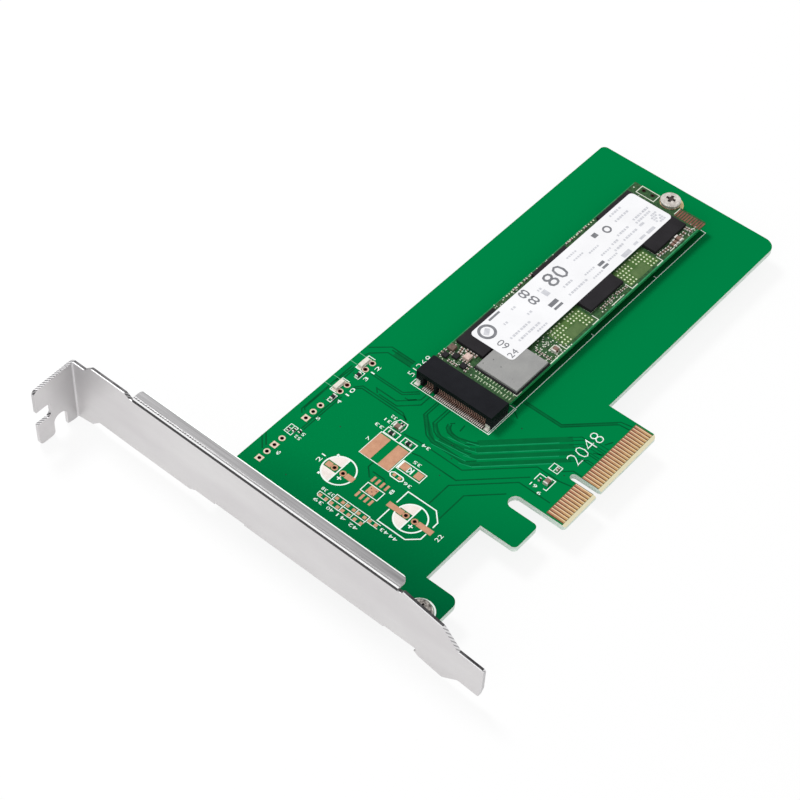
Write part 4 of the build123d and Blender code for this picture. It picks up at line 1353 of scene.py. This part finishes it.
# %% Print of the drive's board
shape = bmesh.new()
for shift in (0.0, -chip_step):
    line(shape, [(124.8 + shift, 32.2), (124.8 + shift, 30.2), (122.45 + shift, 30.2)], 0.24)
    line(shape, [(112.05 + shift, 32.4), (112.05 + shift, 30.2), (114.2 + shift, 30.2)], 0.24)
    line(shape, [(125.3 + shift, 35.1), (125.3 + shift, 32.9), (127.6 + shift, 32.9)], 0.24)
for low_x, high_x, y in ((131.9, 134.2, 32.8), (128.7, 134.6, 30.7), (137.9, 139.6, 30.9),
                         (109.1, 111.2, 32.9), (140.1, 142.8, 37.5), (104.0, 109.0, 30.5),
                         (78.4, 85.0, 30.2)):
    line(shape, [(low_x, y), (high_x, y)], 0.22)
rectangle(shape, 140.2, 44.0, 143.0, 49.4, 0.24)
rectangle(shape, 82.5, 31.0, 84.5, 33.1, 0.22)
line(shape, [(66.0, 31.0), (66.0, 29.95), (67.9, 29.95)], 0.24)
for x, y in ((79.4, 31.6), (80.4, 33.0), (79.3, 34.6), (81.0, 35.7), (83.1, 34.8),
             (85.4, 34.2), (85.6, 32.0), (100.9, 31.0), (102.6, 33.2), (105.4, 31.9),
             (107.0, 34.2), (128.2, 34.6), (130.4, 33.9), (136.6, 33.0), (141.2, 50.8),
             (71.0, 50.9), (73.2, 51.0), (76.4, 51.1), (79.6, 50.7)):
    disc(shape, x, y, 0.2, 8)
lay(shape, 0.025, drive_top)
drive_print = grained(
    "drive_print", (206, 214, 196), (230, 234, 218), (0.5, 0.65), 1.2, 0.2, 0.004, specular=0.2
)
add_piece("drive_print", shape, drive_print)

# %% [markdown]
# ## Painted shade at the drive's screw
# The cross of the drive's screw looks wider than the drawn one, with rounded, dark
# corners, because little light comes back out of it. A thin dark star of painted shade lies
# round the recess and gives it that wider outline.

# %% Painted shade round the cross
shape = bmesh.new()
for turn in (0.35, 0.35 + math.pi / 2):
    reach = Vector((math.cos(turn), math.sin(turn))) * 1.25
    middle = Vector((standoff_x, standoff_y))
    line(shape, [middle - reach, middle - reach * 0.5], 0.42)
    line(shape, [middle + reach * 0.5, middle + reach], 0.42)
disc(shape, standoff_x, standoff_y, 0.78, 8)
head_top = screw_high.z / MM
raise_flat(shape, head_top - 0.02, head_top + 0.012)
# Painted shade in and round the screw's cross.
recess_shade_finish = grained(
    "painted_recess_shade", (44, 34, 32), (74, 60, 56), (0.4, 0.6), 0.4, 0.1, 0.004, metal=0.3
)
add_piece("painted_cross_shade", shape, recess_shade_finish)

# %% [markdown]
# ## Ink on the label
# The label's ink is generic: rows of bars stand for small words, with a ring, a few
# blocks and plain numbers. It comes in two greys, since small print looks pale from afar.

# %% Rings, blocks and numbers of the label
label_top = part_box("drive_label")[1].z / MM
bold, pale = bmesh.new(), bmesh.new()
line(bold, around(76.3, 47.0, 2.0, 28), 0.75, closed=True)
line(pale, [(75.3, 46.5), (77.2, 47.6)], 1.3)
patch(bold, 79.4, 48.6, 83.4, 49.2)
number(bold, "88", 90.5, 43.7, 93.2, 49.4, turned=True)
patch(bold, 92.8, 39.1, 95.9, 39.8)
patch(bold, 92.8, 40.4, 95.9, 41.6)
line(bold, around(123.3, 46.3, 1.0, 20), 0.5, closed=True)
patch(bold, 118.7, 46.6, 120.3, 48.0)
patch(bold, 111.7, 38.7, 113.9, 39.4)
patch(bold, 111.7, 39.9, 113.9, 40.8)
number(bold, "60", 74.6, 40.3, 76.8, 43.1, turned=True)
number(bold, "24", 73.6, 37.4, 76.4, 39.1)
print("bold faces so far:", len(bold.faces))

# %% [markdown]
# A row of words is parted into bars of about a letter's width, and every third bar is
# shorter, so that the row doesn't look like a ruler.

# %% Rows of bars
word_rows = [(79.1, 87.3, 39.6), (78.3, 86.0, 41.5), (100.1, 103.9, 42.3),
             (99.0, 106.3, 39.7), (127.4, 132.2, 48.5), (126.9, 132.4, 46.4),
             (130.4, 137.0, 43.4), (130.0, 136.2, 42.2), (123.2, 127.9, 43.0),
             (123.0, 128.6, 40.9), (119.8, 122.4, 42.2), (118.6, 122.4, 40.4),
             (80.8, 82.2, 45.4), (85.8, 87.4, 47.1), (94.9, 96.4, 46.2),
             (87.2, 88.9, 43.3)]
for start_x, end_x, y in word_rows:
    letters = max(2, round((end_x - start_x) / 0.95))
    step = (end_x - start_x) / letters
    for letter in range(letters):
        wide = step * (0.78 if letter % 3 else 0.55)
        patch(pale, start_x + letter * step, y - 0.32, start_x + letter * step + wide, y + 0.32)
print("pale faces so far:", len(pale.faces))

# %% [markdown]
# Blocks, a small grid of squares and short rows of marks fill the rest of the label.

# %% Blocks and small marks
for low_x, low_y, high_x, high_y in (
        (118.2, 37.1, 121.4, 38.4), (123.4, 37.8, 125.0, 38.5), (126.1, 37.8, 128.2, 38.5),
        (129.0, 37.6, 132.0, 38.5), (129.8, 40.6, 131.5, 41.3)):
    patch(pale, low_x, low_y, high_x, high_y)
for column in range(4):
    for row in range(5):
        if (column * 3 + row * 5) % 4:
            patch(pale, 133.8 + column * 0.76, 37.8 + row * 0.72,
                  133.8 + column * 0.76 + 0.6, 37.8 + row * 0.72 + 0.55)
number(bold, "80", 98.4, 43.9, 105.4, 48.4)
patch(pale, 95.0, 43.4, 96.5, 45.4)
for low_x, y in ((108.4, 47.6), (109.0, 45.9), (113.6, 44.6), (106.9, 40.9), (107.4, 38.7),
                 (84.4, 38.2), (115.0, 41.9), (114.6, 39.6)):
    for letter in range(5):
        patch(pale, low_x + letter * 0.8, y - 0.25, low_x + letter * 0.8 + 0.55, y + 0.25)
for ink in (bold, pale):
    lay(ink, 0.015, label_top)
bold_finish = grained(
    "bold_ink", (112, 113, 118), (134, 135, 140), (0.5, 0.65), 1.0, 0.2, 0.003, specular=0.2
)
pale_finish = grained(
    "pale_ink", (192, 193, 199), (212, 213, 218), (0.5, 0.65), 1.0, 0.2, 0.003, specular=0.2
)
add_piece("label_bold_marks", bold, bold_finish)
add_piece("label_small_marks", pale, pale_finish)

# %% [markdown]
# ## Table and light
# The photograph's ground is pure white. The table is a plain white plane at the card's
# lowest point. Most of what the camera and mirrors see of it is a white glow, and the
# rest is an ordinary white surface, which keeps a faint shadow of the card.

# %% Table
table_z, glow_share = solids_low.z, 0.88
table_mesh = bpy.data.meshes.new("table")
shape = bmesh.new()
bmesh.ops.create_grid(shape, x_segments=1, y_segments=1, size=3.0)
bmesh.ops.translate(shape, verts=shape.verts, vec=(0, 0, table_z))
shape.to_mesh(table_mesh)
shape.free()
table = bpy.data.objects.new("table", table_mesh)
bpy.context.scene.collection.objects.link(table)

table_finish, tree, shader = new_finish("table_white", specular=0.0)
shader.inputs["Roughness"].default_value = 0.9
tone = blend(tree, blotches(tree, 400.0), (250, 250, 250), (254, 254, 254))
wire(tree, tone, shader.inputs["Base Color"])
path = new_node(tree, "ShaderNodeLightPath")
glow = new_node(tree, "ShaderNodeEmission")
glow.inputs["Strength"].default_value = 1.0
seen = maths(tree, "MAXIMUM", path.outputs["Is Camera Ray"], path.outputs["Is Glossy Ray"])
seen = maths(tree, "MAXIMUM", seen, path.outputs["Is Transmission Ray"])
share = maths(tree, "MULTIPLY", seen, glow_share)
mix = new_node(tree, "ShaderNodeMixShader")
wire(tree, share, mix.inputs["Fac"])
wire(tree, shader.outputs["BSDF"], mix.inputs[1])
wire(tree, glow.outputs["Emission"], mix.inputs[2])
wire(tree, mix.outputs["Shader"], tree.nodes["Material Output"].inputs["Surface"])
table_mesh.materials.append(table_finish)
print("table at", round(table_z / MM, 2), "mm")

# %% [markdown]
# The world shows pure white to the camera and in reflections. It lights the card at a
# lower, even level, as the white walls of a photographer's tent do.

# %% World
world = bpy.data.worlds.new("studio")
bpy.context.scene.world = world
world.use_nodes = True
tree = world.node_tree
tree.nodes.clear()
path = new_node(tree, "ShaderNodeLightPath")
seen = maths(tree, "MAXIMUM", path.outputs["Is Camera Ray"], path.outputs["Is Glossy Ray"])
seen = maths(tree, "MAXIMUM", seen, path.outputs["Is Transmission Ray"])
sky = new_node(tree, "ShaderNodeBackground")
ambient_level = 0.70
wire(tree, between(tree, seen, 0.0, 1.0, ambient_level, 1.0), sky.inputs["Strength"])
wire(tree, sky.outputs["Background"], new_node(tree, "ShaderNodeOutputWorld").inputs["Surface"])
print("level of the world's light:", ambient_level)

# %% [markdown]
# A soft lamp stands high behind the card, and a wider, weaker one on the bracket's side.
# They give the shapes their gentle shading and throw the shadow towards the viewer.


# %% Lamps
def soft_lamp(name, place, size_m, watts):
    lamp = bpy.data.lights.new(name, "AREA")
    lamp.shape = "DISK"
    lamp.size = size_m
    lamp.energy = watts
    holder = bpy.data.objects.new(name, lamp)
    holder.location = place
    holder.rotation_mode = "QUATERNION"
    holder.rotation_quaternion = (at(70, 40) - Vector(place)).to_track_quat("-Z", "Y")
    bpy.context.scene.collection.objects.link(holder)
    print(name, "gives", watts, "watts from", size_m, "m across")


soft_lamp("lamp_above", (0.06, 0.45, 0.62), 0.22, 3.0)
soft_lamp("lamp_left", (-0.60, -0.10, 0.35), 0.5, 0.9)
